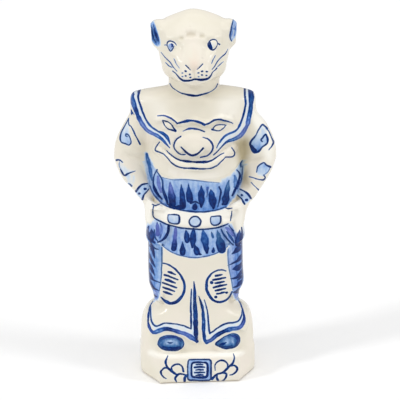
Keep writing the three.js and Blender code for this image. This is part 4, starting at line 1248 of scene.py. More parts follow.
# %% Boots
BOOT_HIGHLIGHT_LEFT = [(164, 341), (169, 338.6), (177, 339.4), (178.6, 343), (172, 345.6), (165.6, 344.6)]
BOOT_HIGHLIGHT_RIGHT = [(221, 343.4), (226, 339.4), (232, 337), (233, 341), (227.4, 344.6)]
BOOTS = {
    "left upper shade": ([(161.4, 339.4), (168, 337.2), (176, 337.6), (181, 341)], (1.4, 2, 2, 1.6),
        (0.5, 0.66, 0.6), 0.6),
    "left lower shade": ([(163.4, 347), (171.4, 348.8), (179.6, 347.6)], (2.2, 3.4, 2.6), (0.7, 0.85, 0.8),
        -0.6),
    "left rim": ([*BOOT_LEFT, BOOT_LEFT[0]], (1, 0.9, 0.9, 1, 1.2, 1.4, 1.2),
        (0.84, 0.72, 0.8, 0.8, 0.95, 0.95, 0.85), -0.3),
    "left inner rim": ([(160.6, 339.6), (159.8, 343.4), (162.6, 347.2)], (0.7, 1, 0.8), 0.2),
    "left spot": ([(167.8, 342.6), (170.2, 342.9), (172.8, 342.8)], (0.9, 1.7, 0.8), (0.7, 0.85, 0.6),
        -0.4),
    "right band": ([(231, 335.6), (236, 336.8), (238, 340.4), (236.2, 344.2)], (1.4, 2.8, 3, 1.8),
        (0.55, 0.75, 0.7), 0.5),
    "right lower shade": ([(219.4, 346), (225, 346.8), (232, 345.8)], (1.2, 1.8, 1.4), 0.66, -0.4),
    "right rim": ([*BOOT_RIGHT, BOOT_RIGHT[0]], (1.6, 1, 0.9, 1.2, 1.4, 1.5, 1.5),
        (1, 0.84, 0.76, 0.92, 0.95, 0.97), -0.2),
    "right spot": ([(220.4, 344.6), (224, 343.6), (226.4, 342.4)], (1.4, 2.4, 0.9), (0.9, 0.95, 0.6), -0.4),
}
for boot in (BOOT_LEFT, BOOT_RIGHT):
    wash(FRONT, boot, (0.54, 0.5, 0.72), -0.9)
# A painted highlight: a paler wash in the middle of each boot.
wash(FRONT, BOOT_HIGHLIGHT_LEFT, 0.28, -1, 1.6)
wash(FRONT, BOOT_HIGHLIGHT_RIGHT, 0.26, -1, 1.6)
paint(FRONT, BOOTS)

# %% Scrolls and the panel on the plinth
SCROLLS = {
    "left stem": ([(168, 356), (165.9, 360.7), (166.2, 364.3), (168, 367.9), (171.5, 371), (176.5, 374.6)],
        (0.8, 1.8, 1.6, 2.3, 2.7, 2.6)),
    "left outer curl": ([(168, 367.9), (163.9, 368.3), (161.1, 371), (161.5, 374.6), (163.9, 377.2),
        (166.8, 378.8)], (1.3, 1.9, 2, 1.3, 0.7)),
    "left upper curl": ([(171.4, 371), (171.8, 367), (175.1, 364.5), (179.1, 364.5), (182.2, 367),
        (183.4, 371.6)], (2.5, 1.8, 1.6, 1.3, 1.9)),
    "left lower curl": ([(176.4, 381.8), (175.3, 378.6), (177.1, 375.4), (180.4, 373.9), (187.1, 375.2)],
        (1.2, 2.1, 2, 1.5, 1.6)),
    "left foot": ([(186.6, 375.4), (184.9, 378), (184.4, 384)], (2, 2.2, 1.5)),
    "right stem": ([(233.2, 353.6), (234.4, 357.7), (233.4, 361.7), (230.8, 365.3), (226.9, 368.6),
        (222.7, 372.4), (216.5, 374.7), (211.9, 378.8)], (0.6, 1.4, 1.6, 2.1, 2.3, 2, 1.8, 2.3)),
    "right inner curl": ([(226.9, 368.9), (227.8, 365.3), (225.7, 361.7), (221.6, 360.3), (217.6, 361.7),
        (215, 365.3), (215.3, 370.2)], (1.8, 1.5, 1.5, 1.2, 0.7)),
    "right outer curl": ([(230.8, 365.8), (234.4, 365.6), (237.1, 368.4), (235.6, 372.4), (232.3, 374.5),
        (229.6, 374.9)], (1.5, 1.5, 1.9, 1.4, 0.7)),
    "right lower curl": ([(222.7, 372.6), (225.9, 373.5), (226.2, 376.5), (224.2, 379.6), (221.4, 381.1)],
        (1.4, 2, 1.4, 0.7)),
    "right foot": ([(217, 375), (216.8, 378.6), (218.8, 381.5)], (1.5, 2, 0.9)),
}
PANEL_FRAMES = {"outer": (11.6, 10.4, 0.3, 1.7), "inner": (8, 7.4, 0.1, 2.4)}
PANEL_CUT = 3.6
SCROLL_BRUSH = 1.1
PANEL_BARS = {364.4: 3.2, 367.1: 5, 369.8: 3.6, 372.5: 5, 375.2: 3.4}
for marks, width in SCROLLS.values():
    brush(FRONT, marks, np.array(width) * SCROLL_BRUSH, (0.8, 0.97, 0.9), -0.4)


def rounded_panel(half_wide, half_high):
    """The outline of a panel with round corners, as a ring of marks on the plinth's front."""
    middle, level = PANEL_CENTRE
    inset = PANEL_CUT * 0.25
    corner = (half_wide - inset, half_high - inset)
    quarter = [(half_wide, half_high - PANEL_CUT), corner, (half_wide - PANEL_CUT, half_high)]
    around = quarter + [(-x, y) for x, y in reversed(quarter)]
    around += [(-x, -y) for x, y in around]
    return [(middle + x, level + y) for x, y in around]


for half_wide, half_high, tone, width in PANEL_FRAMES.values():
    frame_line = rounded_panel(half_wide, half_high)
    wash(FRONT, frame_line, tone, 0.1)
    brush(FRONT, [*frame_line, frame_line[0]], (width, 0.8 * width, width), 0.97)
middle = PANEL_CENTRE[0]
for level, reach in PANEL_BARS.items():
    bar = [(middle - reach, level + 0.3), (middle, level - 0.2), (middle + reach, level + 0.2)]
    brush(FRONT, bar, (1.5, 1.9, 1.4), (0.85, 0.95, 0.8), -0.2)
print("strokes:", len(strokes))

# %% [markdown]
# ## Painting the back and the sides
#
# The picture shows nothing of the back. Painters of such figures carry the lines of the front round it and
# leave out the finer work, so the cape's pair of lines goes on over the shoulders, the belt has its two
# edges, and the cloth one row of drops above the belt and one below. These drawings are in mm. The lines
# that are alike on both sides are noted from the right side to the middle and mirrored.

# %% Lines that go round the back
def mirrored(half):
    """A line that is alike on both sides, from its right half, which ends in the middle."""
    return [*half, *[(-across, high) for across, high in reversed(half[:-1])]]


BEHIND = {
    "cape, outer": ([(47.2, 234.5), (46.8, 226), (45.4, 216), (42.6, 205.6), (38, 197.6), (29.4, 194),
        (19.6, 190.2), (10, 187.8), (0, 186.8), (-10, 187.5), (-19.6, 189.6), (-29, 193.2), (-35.6, 196.8),
        (-40.6, 205.6), (-44.6, 218), (-45, 227), (-43.6, 235)], (3.6, 3, 2.6, 3, 3.6),
        (0.9, 0.7, 0.85)),
    "cape, inner": ([(43.4, 236), (43.6, 226), (42.6, 216), (38.6, 206.6), (34.6, 202.6), (27.8, 199),
        (18.6, 195.2), (9.4, 192.8), (0, 191.8), (-9.4, 192.4), (-18.6, 194.6), (-27.2, 198.2), (-32, 202),
        (-36, 208), (-39.4, 218), (-40, 227), (-39.4, 236.4)], (1.5, 1.3, 1.4, 1.5), (0.9, 0.8, 0.9)),
    "neck": ([(19.6, 242), (16, 239.6), (9, 235.6), (0, 233.8), (-9, 235.2), (-15.6, 239), (-18.6, 242)],
        1.1, 0.85),
    "belt, upper": (mirrored([(37, 148.6), (20, 146.8), (0, 145.6)]), 1.2, (0.8, 0.9, 0.8)),
    "belt, lower": (mirrored([(37, 136), (28, 134.4), (14, 132), (0, 131)]), 1.2, 0.88),
    "apron's edge": (mirrored([(31, 128), (27, 115), (18, 108.6), (0, 105.6)]), 1.1, 0.55),
    "robe, outer": (mirrored([(39, 46), (39.6, 36), (34, 30.6), (18, 28.8), (0, 28.4)]),
        (1.2, 2.8, 2.8, 2.8, 1.2), (0.8, 0.95, 0.7, 0.95, 0.8)),
    "robe, inner": (mirrored([(34.6, 46), (34.4, 39), (30, 35.6), (16, 33.8), (0, 33.4)]),
        (0.8, 1.3, 1.3, 1.3, 0.8), 0.85),
}
OVER_SHOULDERS = {
    "left outer": ([(-48.4, -5), (-49, 0), (-47.8, 7)], 3.2, 0.85),
    "left inner": ([(-43.6, -6), (-44, 0), (-43.4, 7)], 1.5, 0.9),
    "right inner": ([(39.6, -4), (40, 1), (39.4, 7)], 1.5, 0.9),
    "right outer": ([(44, -6), (45, 0), (43.8, 7)], 3.2, 0.85),
}
WAIST_BEHIND = [(-31, 150), (31, 150), (32, 166), (30, 182), (14, 180), (-14, 180), (-30, 182), (-32, 166)]
APRON_BEHIND = [(-31, 132), (0, 130), (31, 132), (27, 115), (18, 108.6), (0, 105.6), (-18, 108.6), (-27, 115)]
DROP_SPACING = 8.2
ROW_RISE = 0.01
DROPS_BESIDE_THE_MIDDLE = 3
wash(BACK, WAIST_BEHIND, (0.3, 0.2, 0.26), 0.2)
wash(BACK, APRON_BEHIND, (0.24, 0.2, 0.24), 0.2)
for place in range(-DROPS_BESIDE_THE_MIDDLE, DROPS_BESIDE_THE_MIDDLE + 1):
    across = place * DROP_SPACING
    rise = ROW_RISE * across**2
    drop(BACK, (across, 177 + rise), (across * 0.98, 153 + rise), 5, LEAF, (0.5, 0.75, 1))
    drop(BACK, (across * 0.94, 129), (across * 0.9, 112 + rise), 4.6, LEAF, (0.45, 0.75, 1))
paint(BACK, BEHIND)
paint(TOP, OVER_SHOULDERS)

# %% Sleeves and hip plates from the sides
SLEEVE_MIDDLE = 51
SLEEVE_BEHIND = {
    "scroll": ([(-3, 197), (-5, 191), (-3.6, 185), (1.4, 183), (4.4, 187), (3, 191.4), (-0.4, 190.4)],
        (0.8, 1.3, 1.6, 1.5, 1.2, 0.9), (0.7, 0.9, 0.8)),
    "tail": ([(-3, 197), (0.6, 200), (3.4, 198), (5, 193.4)], (0.9, 1.2, 1.4, 0.8), (0.7, 0.9, 0.8)),
    "wave": ([(-5, 174), (-1.6, 171), (1.6, 172.4), (4.6, 169.6)], (0.8, 1.5, 1.2, 0.8), 0.85),
}
PLATE_SIDE = [(-6, 126), (-6.4, 66), (2, 64), (9, 66), (9, 126)]
PLATE_LEVELS = [119, 110.6, 101.6, 92.6, 84, 75.6]
for view, way in ((SIDE_LEFT, 1), (SIDE_RIGHT, -1)):
    wash(view, [(way * across, high) for across, high in PLATE_SIDE], (0.42, 0.36), 0.1, 1.2)
    for level in PLATE_LEVELS:
        stripe = [(way * across, level + rise) for across, rise in ((-5, 3), (3, 1), (10, -1))]
        brush(view, stripe, (0.8, 2.2, 1.8), (0.85, 0.97), -0.2)
    for marks, widths, inks in SLEEVE_BEHIND.values():
        brush(BACK, [(way * (SLEEVE_MIDDLE + across), high) for across, high in marks], widths, inks)
print("strokes:", len(strokes))

# %% [markdown]
# ## Painted shade and painted light
#
# The glaze is not one ivory. Shade is painted in, darker and beige, at the bend of the arms, under the chin,
# on the upper chest and down the middle, and light is painted in, paler and whiter, on the chest, the
# sleeves' outer sides, the belt, the belly, the hands and the plinth's top.

# %% Places of painted shade and painted light
# Painted shade: places made darker and beige where shade falls.
PAINTED_SHADE_PLACES = {
    "left arm": ([(138, 138), (150, 140), (152, 154), (150, 170), (152, 184), (144, 184), (139, 168),
        (136, 152)], 5, 0.35),
    "right arm": ([(235, 142), (247, 138), (251, 150), (247, 166), (250, 184), (243, 186), (240, 168)], 5,
        0.95),
    "chin": ([(172, 80), (192, 84), (214, 80), (213, 89), (195, 94), (176, 89)], 3, 0.12),
    "upper chest": ([(176, 98), (212, 98), (216, 110), (196, 114), (172, 110)], 7, 0.2),
    "thighs": ([(178, 262), (208, 262), (204, 290), (194, 280), (184, 290)], 9, 0.12),
    "flaps": ([(166, 300), (232, 298), (236, 316), (214, 322), (188, 322), (160, 318)], 7, 0.12),
}
# Painted light: places made paler and whiter where light falls.
PAINTED_LIGHT_PLACES = {
    "left chest": ([(142, 96), (164, 98), (172, 118), (160, 124), (150, 116)], 7, -0.4),
    "right chest": ([(216, 98), (243, 96), (240, 116), (228, 124), (214, 118)], 7, -0.5),
    "right shoulder": ([(246, 92), (256, 100), (262, 120), (252, 122), (248, 106)], 5, -0.6),
    "sleeves' outer sides": ([(256, 112), (270, 130), (274, 150), (270, 164), (262, 150), (256, 130)], 4,
        -0.9),
    "belt": ([(157, 206), (195, 212), (229, 208), (230, 221), (195, 227), (157, 218)], 3, -1),
    "belly": ([(168, 170), (195, 172), (222, 170), (212, 180), (178, 178)], 6, -0.7),
    "left hand": ([(145, 200), (152, 200), (152, 222), (146, 222)], 2, -0.8),
    "right hand": ([(233, 204), (243, 204), (242, 230), (236, 232)], 2, -0.6),
    "plinth's top": ([(150, 350), (170, 353), (205, 352), (240, 350), (240, 356), (205, 357), (155, 357)],
        3, -1),
}
# Both go into one list: a depth above zero is painted shade, one below zero painted light.
for outline, soft, depth in [*PAINTED_SHADE_PLACES.values(), *PAINTED_LIGHT_PLACES.values()]:
    painted_light_and_shade.append((FRONT, outline, soft, depth))
# The forehead's dents get painted shade.
DENT_SHADE_SOFT, DENT_SHADE_DEPTH = 1.6, 0.4
for centre, wide, high in FOREHEAD_DENTS:
    painted_light_and_shade.append((FRONT, patch(centre, wide, high), DENT_SHADE_SOFT, DENT_SHADE_DEPTH))
print("places:", len(painted_light_and_shade))

# %% [markdown]
# ## Thinning the skin
#
# The carved skin has more faces than the figure needs. Collapsing edges takes them where they do least
# harm, and a vertex group keeps them where paint goes, because sharp paint needs small faces.

# %% Fewer faces where there is no paint
TRIANGLES = 192_000
PAINT_MARGIN = 1.0 * MM
STEP_DEPTH = 5 * MM
dense = clay.points
painted = np.zeros(len(dense), bool)
dense_flat = {view: view.flat(dense) for view in {stroke.view for stroke in strokes}}
for stroke in strokes:
    reach = stroke.halves.max() + PAINT_MARGIN
    near_marks = inside_box(dense, stroke.places, reach + STEP_DEPTH)
    flat = dense_flat[stroke.view][near_marks]
    close = inside_box(flat, stroke.line, reach / stroke.view.unit)
    which, gap = nearest(flat[close], stroke.line)
    painted[near_marks[close[gap * stroke.view.unit < stroke.halves[which] + PAINT_MARGIN]]] = True
group = figure.vertex_groups.new(name="painted")
group.add(np.flatnonzero(painted).tolist(), 1.0, "REPLACE")
ratio = min(1.0, TRIANGLES / len(figure.data.polygons))
apply_modifier(figure, "DECIMATE", ratio=ratio, vertex_group="painted", vertex_group_factor=1.0,
    invert_vertex_group=True)
figure.vertex_groups.clear()
press_into_box()
select_only(figure)
bpy.ops.object.shade_smooth()
print("thinned skin:", len(figure.data.polygons), "triangles")
print("points under paint:", int(painted.sum()), "of", len(dense))

# %% [markdown]
# ## Laying the washes
#
# Only the points that the painter's side sees take a wash. How much pigment lies on each point, and its
# tint, is kept on the point.

# %% Washes on the skin
RIM_TONE = 0.16
skin = Skin(figure)
washed, wash_tints, blush, painted_shade_and_light = np.zeros((4, len(skin.points)))
for view, outline, tone, tint, soft in washes:
    share, down = skin.covered(view, outline, soft)
    washed = washed * (1 - share) + spread(tone, down) * share * (1 + RIM_TONE * 4 * share * (1 - share))
    wash_tints = wash_tints * (1 - share) + spread(tint, down) * share
for view, outline, soft in blushes:
    blush = np.maximum(blush, skin.covered(view, outline, soft)[0])
# The listed painted shade and painted light are laid on the points too.
for view, outline, soft, depth in painted_light_and_shade:
    painted_shade_and_light += skin.covered(view, outline, soft)[0] * depth
print("points with a wash:", int((washed > 0).sum()), "of", len(skin.points))

# %% [markdown]
# ## Painted shade in creases
#
# Creases are made a little beige: glaze runs into them while it melts and is thicker there, and shade is
# painted into them as well. How shut in each point is can be felt with short rays: where many of them meet
# clay again, it is a crease.

# %% How shut in each point is
SHELTER_REACH = 11 * MM
SHELTER_WAYS = 40
SHELTER_START = 0.3
OUTWARD = 0.1
FADE_WITH_DISTANCE = 0.6
EVENING_ROUNDS = 4


def even_ways(count):
    """Directions spread evenly over a ball."""
    heights = 1 - (2 * np.arange(count) + 1) / count
    turns = np.arange(count) * math.pi * (3 - math.sqrt(5))
    level = np.sqrt(1 - heights**2)
    return np.stack([level * np.cos(turns), level * np.sin(turns), heights], axis=1)


def shelter():
    """From 0 in the open to 1 deep in a crease, felt with short rays and evened out between neighbours."""
    shut, open_sky = np.zeros((2, len(skin.points)))
    starts = skin.points + skin.normals * SHELTER_START * MM
    for way in even_ways(SHELTER_WAYS):
        weights = skin.normals @ way
        ray = Vector(way)
        outward = np.flatnonzero(weights > OUTWARD)
        open_sky[outward] += weights[outward]
        for i in outward:
            place, _, _, gap = skin.surface.ray_cast(Vector(starts[i]), ray, SHELTER_REACH)
            if place is not None:
                shut[i] += weights[i] * (1 - FADE_WITH_DISTANCE * gap / SHELTER_REACH)
    shut /= np.maximum(open_sky, 1e-6)
    ends = np.empty(len(figure.data.edges) * 2, np.int32)
    figure.data.edges.foreach_get("vertices", ends)
    one, other = ends.reshape(-1, 2).T
    for _ in range(EVENING_ROUNDS):
        total, count = shut.copy(), np.ones(len(shut))
        np.add.at(total, one, shut[other])
        np.add.at(total, other, shut[one])
        np.add.at(count, one, 1)
        np.add.at(count, other, 1)
        shut = total / count
    return shut


# How shut in a point is sets its painted shade in creases, together with pooled glaze.
crease_shade_and_pooling = shelter()
print("shelter: middle", round(float(np.median(crease_shade_and_pooling)), 3), "most", round(float(crease_shade_and_pooling.max()), 3))

# %% [markdown]
# ## Laying the strokes
#
# The glaze's material has to know, everywhere on the skin, how far the nearest stroke's middle line is.
# A distance kept at the points would lose thin lines, because it would be read between points on both
# sides of the line. So each face takes one stroke, the one that covers it best, and keeps at its three
# corners how far they lie to the left or right of it. Between corners that is exact, and the line stays
# sharp on faces wider than the line itself.

# %% Which stroke each face takes
REACH = 1.6 * MM
SMEAR = 14 * MM


def corner_places(mesh, points):
    """The places of the three corners of each face."""
    corners = np.empty(len(mesh.loops), np.int32)
    mesh.loops.foreach_get("vertex_index", corners)
    return points[corners].reshape(-1, 3, 3)


def faces_turned_to(view, places):
    """Which faces are turned to one side."""
    up = np.cross(places[:, 1] - places[:, 0], places[:, 2] - places[:, 0])
    up /= np.maximum(np.linalg.norm(up, axis=1, keepdims=True), 1e-15)
    return (view.towards(places.mean(axis=1)) * up).sum(axis=1) > GRAZING


def choose_strokes(places, flats):
    """For each face the stroke that covers it best, or -1, and the nearest of that stroke's marks."""
    centres = places.mean(axis=1)
    facing = {view: faces_turned_to(view, places) for view in flats}
    best = np.full(len(centres), REACH)
    owner = np.full(len(centres), -1)
    nearest_mark = np.zeros(len(centres), int)
    for number, stroke in enumerate(strokes):
        unit = stroke.view.unit
        beside = inside_box(centres, stroke.places, stroke.halves.max() + SMEAR)
        beside = beside[facing[stroke.view][beside]]
        flat = flats[stroke.view][beside].mean(axis=1)
        close = inside_box(flat, stroke.line, (stroke.halves.max() + REACH) / unit)
        which, gap = nearest(flat[close], stroke.line)
        close = beside[close]
        depth = gap * unit - stroke.halves[which]
        level = np.linalg.norm(centres[close] - stroke.places[which], axis=1)
        better = (depth < best[close]) & (level < stroke.halves[which] + SMEAR)
        best[close[better]] = depth[better]
        owner[close[better]] = number
        nearest_mark[close[better]] = which[better]
    return owner, nearest_mark


print("the reach of a stroke past its border:", round(REACH / MM, 1), "mm")

# %% From strokes to corner values
NEXT_MARK_FROM = 0.4
MARKS_TO_A_CORNER = 3


def closest_marks(stroke, spots, which):
    """Walks along a stroke from a mark near each spot to the mark that is closest to it."""
    for _ in range(MARKS_TO_A_CORNER):
        ahead = ((spots - stroke.line[which]) * stroke.ways[which]).sum(axis=1)
        step = np.sign(ahead) * (np.abs(ahead) > NEXT_MARK_FROM)
        which = (which + step).astype(int).clip(0, len(stroke.line) - 1)
    return which


def corner_values(flats, owner, nearest_mark):
    """Where the corners of each face lie on the stroke that it takes, and the stroke's ink and tint there."""
    values = {name: np.zeros((len(owner), 3)) for name in ("across", "beyond", "half", "ink", "tint")}
    values["half"] -= REACH / MM
    for number, stroke in enumerate(strokes):
        own = np.flatnonzero(owner == number)
        if len(own) == 0:
            continue
        unit = stroke.view.unit / MM
        spots = flats[stroke.view][own].reshape(-1, 2)
        which = closest_marks(stroke, spots, np.repeat(nearest_mark[own], 3))
        off = spots - stroke.line[which]
        ahead = (off * stroke.ways[which]).sum(axis=1)
        past_the_end = np.where(which == len(stroke.line) - 1, ahead, 0)
        beyond = np.where(which == 0, -ahead, past_the_end).clip(0)
        values["across"][own] = ((off * stroke.sides[which]).sum(axis=1) * unit).reshape(-1, 3)
        values["beyond"][own] = (beyond * unit).reshape(-1, 3)
        values["half"][own] = (stroke.halves[which] / MM).reshape(-1, 3)
        values["ink"][own] = stroke.inks[which].reshape(-1, 3)
        values["tint"][own] = stroke.tints[which].reshape(-1, 3)
    return values


def keep(mesh, name, domain, values):
    """Stores numbers on the mesh for the material to read."""
    attribute = mesh.attributes.new(name, "FLOAT", domain)
    attribute.data.foreach_set("value", values.astype(np.float32).ravel())


places = corner_places(figure.data, skin.points)
flats = {view: view.flat(places.reshape(-1, 3)).reshape(-1, 3, 2) for view in {s.view for s in strokes}}
owner, nearest_mark = choose_strokes(places, flats)
for name, values in corner_values(flats, owner, nearest_mark).items():
    keep(figure.data, "line_" + name, "CORNER", values)
on_points = {"wash": washed, "wash_tint": wash_tints, "blush": blush, "crease_shade_and_pooling": crease_shade_and_pooling, "painted_shade_and_light": painted_shade_and_light}
for name, values in on_points.items():
    keep(figure.data, name, "POINT", values)
print("faces that took a stroke:", int((owner >= 0).sum()), "of", len(owner))

# %% [markdown]
# ## The glaze
#
# Under a clear glaze, thin cobalt is a pale grey blue and thick cobalt is nearly black, so one ramp from
# ivory to navy stands for all of it, and the strokes and washes only say how much pigment there is. The
# clay body is a warm ivory. Creases are made a little beige, as pooled glaze and as painted shade, and some
# places take painted shade or painted light. A stroke has frayed edges, a faint halo where cobalt has bled
# into the glaze, and streaks; wide strokes and washes are cloudy. The scale of a noise says how many spots
# there are in a metre.

# %% Nodes for the glaze
glaze = bpy.data.materials.new("cobalt_under_glaze")
glaze.use_nodes = True
nodes, links = glaze.node_tree.nodes, glaze.node_tree.links
nodes.clear()


def node(kind, inputs=(), **settings):
    """Adds a node, sets what it is given, and joins its inputs to numbers or to other nodes' outputs."""
    made = nodes.new("ShaderNode" + kind)
    for name, value in settings.items():
        setattr(made, name, value)
    for number, value in dict(inputs).items():
        if isinstance(value, bpy.types.NodeSocket):
            links.new(value, made.inputs[number])
        else:
            made.inputs[number].default_value = value
    return made


def math_node(operation, *values):
    """Reckons with two numbers, or with one, at every place of the glaze."""
    return node("Math", enumerate(values), operation=operation).outputs[0]


def plus(first, second):
    """The sum of two numbers."""
    return math_node("ADD", first, second)


def minus(first, second):
    """The first number less the second."""
    return math_node("SUBTRACT", first, second)


def times(first, second):
    """The product of two numbers."""
    return math_node("MULTIPLY", first, second)


def uneven(spots, amount, middle=0.5):
    """Soft random spots as more and less than nothing, by some amount."""
    return times(minus(spots, middle), amount)


def attribute(name):
    """A number that is kept on the mesh."""
    return node("Attribute", attribute_name=name).outputs["Fac"]


def noise(scale, detail=3.0, roughness=0.5, stretch=(1, 1, 1)):
    """Soft random spots from 0 to 1. A larger scale makes smaller spots."""
    place = node("Mapping", {0: node("TexCoord").outputs["Object"], 3: stretch}).outputs[0]
    settings = {"Vector": place, "Scale": scale, "Detail": detail, "Roughness": roughness}
    return node("TexNoise", settings).outputs[0]


print("the glaze starts with", len(nodes), "nodes")


# %% Steps, colours and mixes
def ramp(value, stops):
    """A colour that goes from stop to stop as a number grows."""
    made = node("ValToRGB", {0: value})
    stops_in = made.color_ramp.elements
    while len(stops_in) < len(stops):
        stops_in.new(0.5)
    for element, (place, colour) in zip(stops_in, stops.items()):
        element.position = place
        element.color = (*colour, 1)
    return made.outputs[0]


def smooth_step(value, low, high):
    """Goes softly from 0 to 1 while a number goes from low to high."""
    made = node("MapRange", {0: value, 1: low, 2: high, 3: 0.0, 4: 1.0}, interpolation_type="SMOOTHSTEP")
    return made.outputs[0]


def mixed(share, first, second, blend="MIX"):
    """Two colours mixed. At a share of 0 only the first is left."""
    first, second = (c if isinstance(c, bpy.types.NodeSocket) else (*c, 1) for c in (first, second))
    made = node("Mix", {0: share, 6: first, 7: second}, data_type="RGBA", blend_type=blend)
    return made.outputs[2]


def linear(*colour):
    """A colour in red, green and blue from 0 to 255, as light. The numbers are those of the sRGB standard."""
    shares = [value / 255 for value in colour]
    return tuple(v / 12.92 if v < 0.04045 else ((v + 0.055) / 1.055) ** 2.4 for v in shares)


print("mid grey as light:", round(linear(128, 128, 128)[0], 3))

# %% The colours of cobalt, clay and glaze
IVORY = linear(238, 232, 217)
COBALT = {
    0.0: IVORY,
    0.08: linear(226, 234, 240),
    0.22: linear(180, 206, 239),
    0.4: linear(114, 156, 219),
    0.56: linear(66, 114, 184),
    0.7: linear(26, 80, 157),
    0.85: linear(8, 54, 126),
    1.0: linear(4, 29, 90),
}
BLOTCHES = {0.3: linear(235, 229, 212), 0.5: IVORY, 0.7: linear(241, 233, 220)}
LILAC = linear(112, 108, 190)
GREY_GREEN = linear(40, 84, 112)
FINE_LINE = linear(44, 66, 102)
BLUSH = linear(232, 206, 190)
# Beige for creases: pooled glaze and painted shade.
POOLED_GLAZE_AND_SHADE = linear(212, 206, 180)
# Colours of painted shade and painted light.
PAINTED_SHADE_COLOUR = linear(196, 188, 166)
PAINTED_LIGHT_COLOUR = linear(255, 252, 243)
BARE_CLAY = linear(206, 192, 168)
print("steps from ivory to navy:", len(COBALT))

# %% Pigment: strokes over washes
EDGE_MM = 0.15
EDGE_SHARE = 0.17
FRAY_MM = 0.5
HALO = 0.08
STROKE_STREAKS, STROKE_CLOUDS, CLOUD_MIDDLE = 0.35, 0.9, 0.68
WASH_CLOUDS, WASH_STREAKS = 1.2, 1.3
frayed = uneven(noise(900, 4), FRAY_MM)
across_squared = math_node("POWER", attribute("line_across"), 2.0)
off_line = math_node("SQRT", plus(across_squared, math_node("POWER", attribute("line_beyond"), 2.0)))
inside = minus(attribute("line_half"), off_line)
softness = math_node("MAXIMUM", times(attribute("line_half"), EDGE_SHARE), EDGE_MM)
stroke_cover = smooth_step(math_node("DIVIDE", plus(inside, frayed), softness), -1.0, 1.0)
bleed = times(smooth_step(inside, -0.9, 0.1), HALO)
middle_share = smooth_step(inside, 0.4, 1.7)
streaks = uneven(noise(420, 3), STROKE_STREAKS)
clouds = uneven(noise(210, 3), times(middle_share, STROKE_CLOUDS), CLOUD_MIDDLE)
loaded = plus(plus(attribute("line_ink"), streaks), clouds)
stroke_ink = math_node("MAXIMUM", times(stroke_cover, loaded), bleed)
cloudy = uneven(noise(240, 4, 0.6), WASH_CLOUDS)
brushed = uneven(noise(330, 3, 0.5, (1, 1, 0.22)), WASH_STREAKS)
wash_ink = times(attribute("wash"), plus(1.0, plus(cloudy, brushed)))
pigment = minus(1.0, times(minus(1.0, stroke_ink), minus(1.0, wash_ink)))
wash_lean = times(attribute("wash_tint"), minus(1.0, stroke_cover))
lean = plus(times(attribute("line_tint"), stroke_cover), wash_lean)
cobalt = ramp(pigment, COBALT)
print("pigment from", len(nodes), "nodes")

# %% Clay, glaze and the unglazed foot
GLAZE_STARTS = 1.2 * MM
MOST_LILAC, MOST_GREY, MOST_FINE, MOST_BLUSH, MOST_POOLED_AND_SHADE = 0.55, 0.5, 0.5, 0.5, 0.6
warmth = smooth_step(pigment, 0.12, 0.0)
toned = mixed(warmth, cobalt, ramp(noise(38, 2), BLOTCHES))
middle_tones = times(smooth_step(pigment, 0.1, 0.4), smooth_step(pigment, 0.98, 0.6))
lilac_share = times(math_node("MAXIMUM", lean, 0.0), times(middle_tones, MOST_LILAC))
grey_share = times(math_node("MAXIMUM", times(lean, -1.0), 0.0), times(middle_tones, MOST_GREY))
fine_share = times(smooth_step(attribute("line_half"), 1.0, 0.5), times(stroke_cover, MOST_FINE))
toned = mixed(lilac_share, toned, LILAC)
toned = mixed(grey_share, toned, GREY_GREEN)
toned = mixed(fine_share, toned, FINE_LINE)
toned = mixed(times(attribute("blush"), MOST_BLUSH), toned, BLUSH)
# Painted shade in creases, with pooled glaze: sheltered points are multiplied towards beige.
pooled_and_shaded = times(smooth_step(attribute("crease_shade_and_pooling"), 0.22, 0.75), MOST_POOLED_AND_SHADE)
toned = mixed(pooled_and_shaded, toned, POOLED_GLAZE_AND_SHADE, "MULTIPLY")
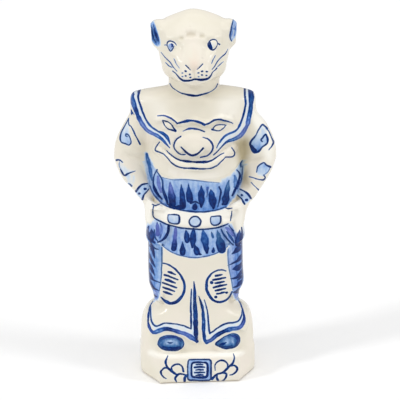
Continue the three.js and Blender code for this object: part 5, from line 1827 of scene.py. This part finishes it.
# Painted shade multiplies towards beige, and painted light whitens where there is no cobalt.
toned = mixed(smooth_step(attribute("painted_shade_and_light"), 0.0, 1.0), toned, PAINTED_SHADE_COLOUR, "MULTIPLY")
toned = mixed(times(smooth_step(attribute("painted_shade_and_light"), 0.0, -1.0), warmth), toned, PAINTED_LIGHT_COLOUR)
height = node("SeparateXYZ", {0: node("TexCoord").outputs["Object"]}).outputs[2]
unglazed = smooth_step(height, GLAZE_STARTS, GLAZE_STARTS / 2)
toned = mixed(unglazed, toned, BARE_CLAY)
waves = node("Bump", {"Strength": 0.12, "Distance": 0.6 * MM, "Height": noise(70, 2)})
gloss = plus(0.22, times(unglazed, 0.6))
coat = times(minus(1.0, unglazed), 0.1)
surface = node("BsdfPrincipled", {"Base Color": toned, "Roughness": gloss, "Specular IOR Level": 0.1,
    "Coat Weight": coat, "Coat Roughness": 0.06, "Normal": waves.outputs[0]})
node("OutputMaterial", {0: surface.outputs[0]})
figure.data.materials.clear()
figure.data.materials.append(glaze)
print("the glaze has", len(nodes), "nodes")

# %% [markdown]
# ## Floor and light
#
# The figure stands on a plain pale floor in a bright room. Big soft lights leave only a faint shadow
# round the plinth.

# %% The stage
FLOOR_SIDE = 6
PALE = (0.94, 0.94, 0.94, 1)
WHITE = (1, 1, 1, 1)
bpy.ops.mesh.primitive_plane_add(size=FLOOR_SIDE, location=(0, 0, 0))
floor = bpy.context.active_object
floor.name = "floor"
paper = bpy.data.materials.new("pale_floor")
paper.use_nodes = True
paper_shader = paper.node_tree.nodes["Principled BSDF"]
paper_shader.inputs["Base Color"].default_value = PALE
paper_shader.inputs["Roughness"].default_value = 0.8
paper_shader.inputs["Emission Color"].default_value = WHITE
paper_shader.inputs["Emission Strength"].default_value = 0.05
floor.data.materials.append(paper)

world = bpy.context.scene.world or bpy.data.worlds.new("room")
bpy.context.scene.world = world
world.use_nodes = True
sky = world.node_tree.nodes["Background"]
sky.inputs["Color"].default_value = WHITE
sky.inputs["Strength"].default_value = 0.4


def soft_light(name, way, wide, power):
    """A wide soft light from far off. It looks along the way from its side to the figure."""
    lamp = bpy.data.lights.new(name, "SUN")
    lamp.angle = math.radians(wide)
    lamp.energy = power
    holder = bpy.data.objects.new(name, lamp)
    bpy.context.scene.collection.objects.link(holder)
    holder.rotation_euler = (-Vector(way)).to_track_quat("-Z", "Y").to_euler()


LIGHTS = {
    "left window": ((-1.0, -0.45, 0.75), 9, 0.8),
    "right window": ((1.0, -0.45, 0.7), 14, 0.7),
    "ceiling": ((0.0, -0.15, 1.0), 60, 1.25),
}
for name, (way, wide, power) in LIGHTS.items():
    soft_light(name, way, wide, power)
bpy.context.scene.view_settings.view_transform = "Standard"

# %% [markdown]
# ## Handing over
#
# The finished piece moves with the part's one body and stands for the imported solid.

# %% The finished piece
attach(figure, "root")
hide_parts("tiger_figure")
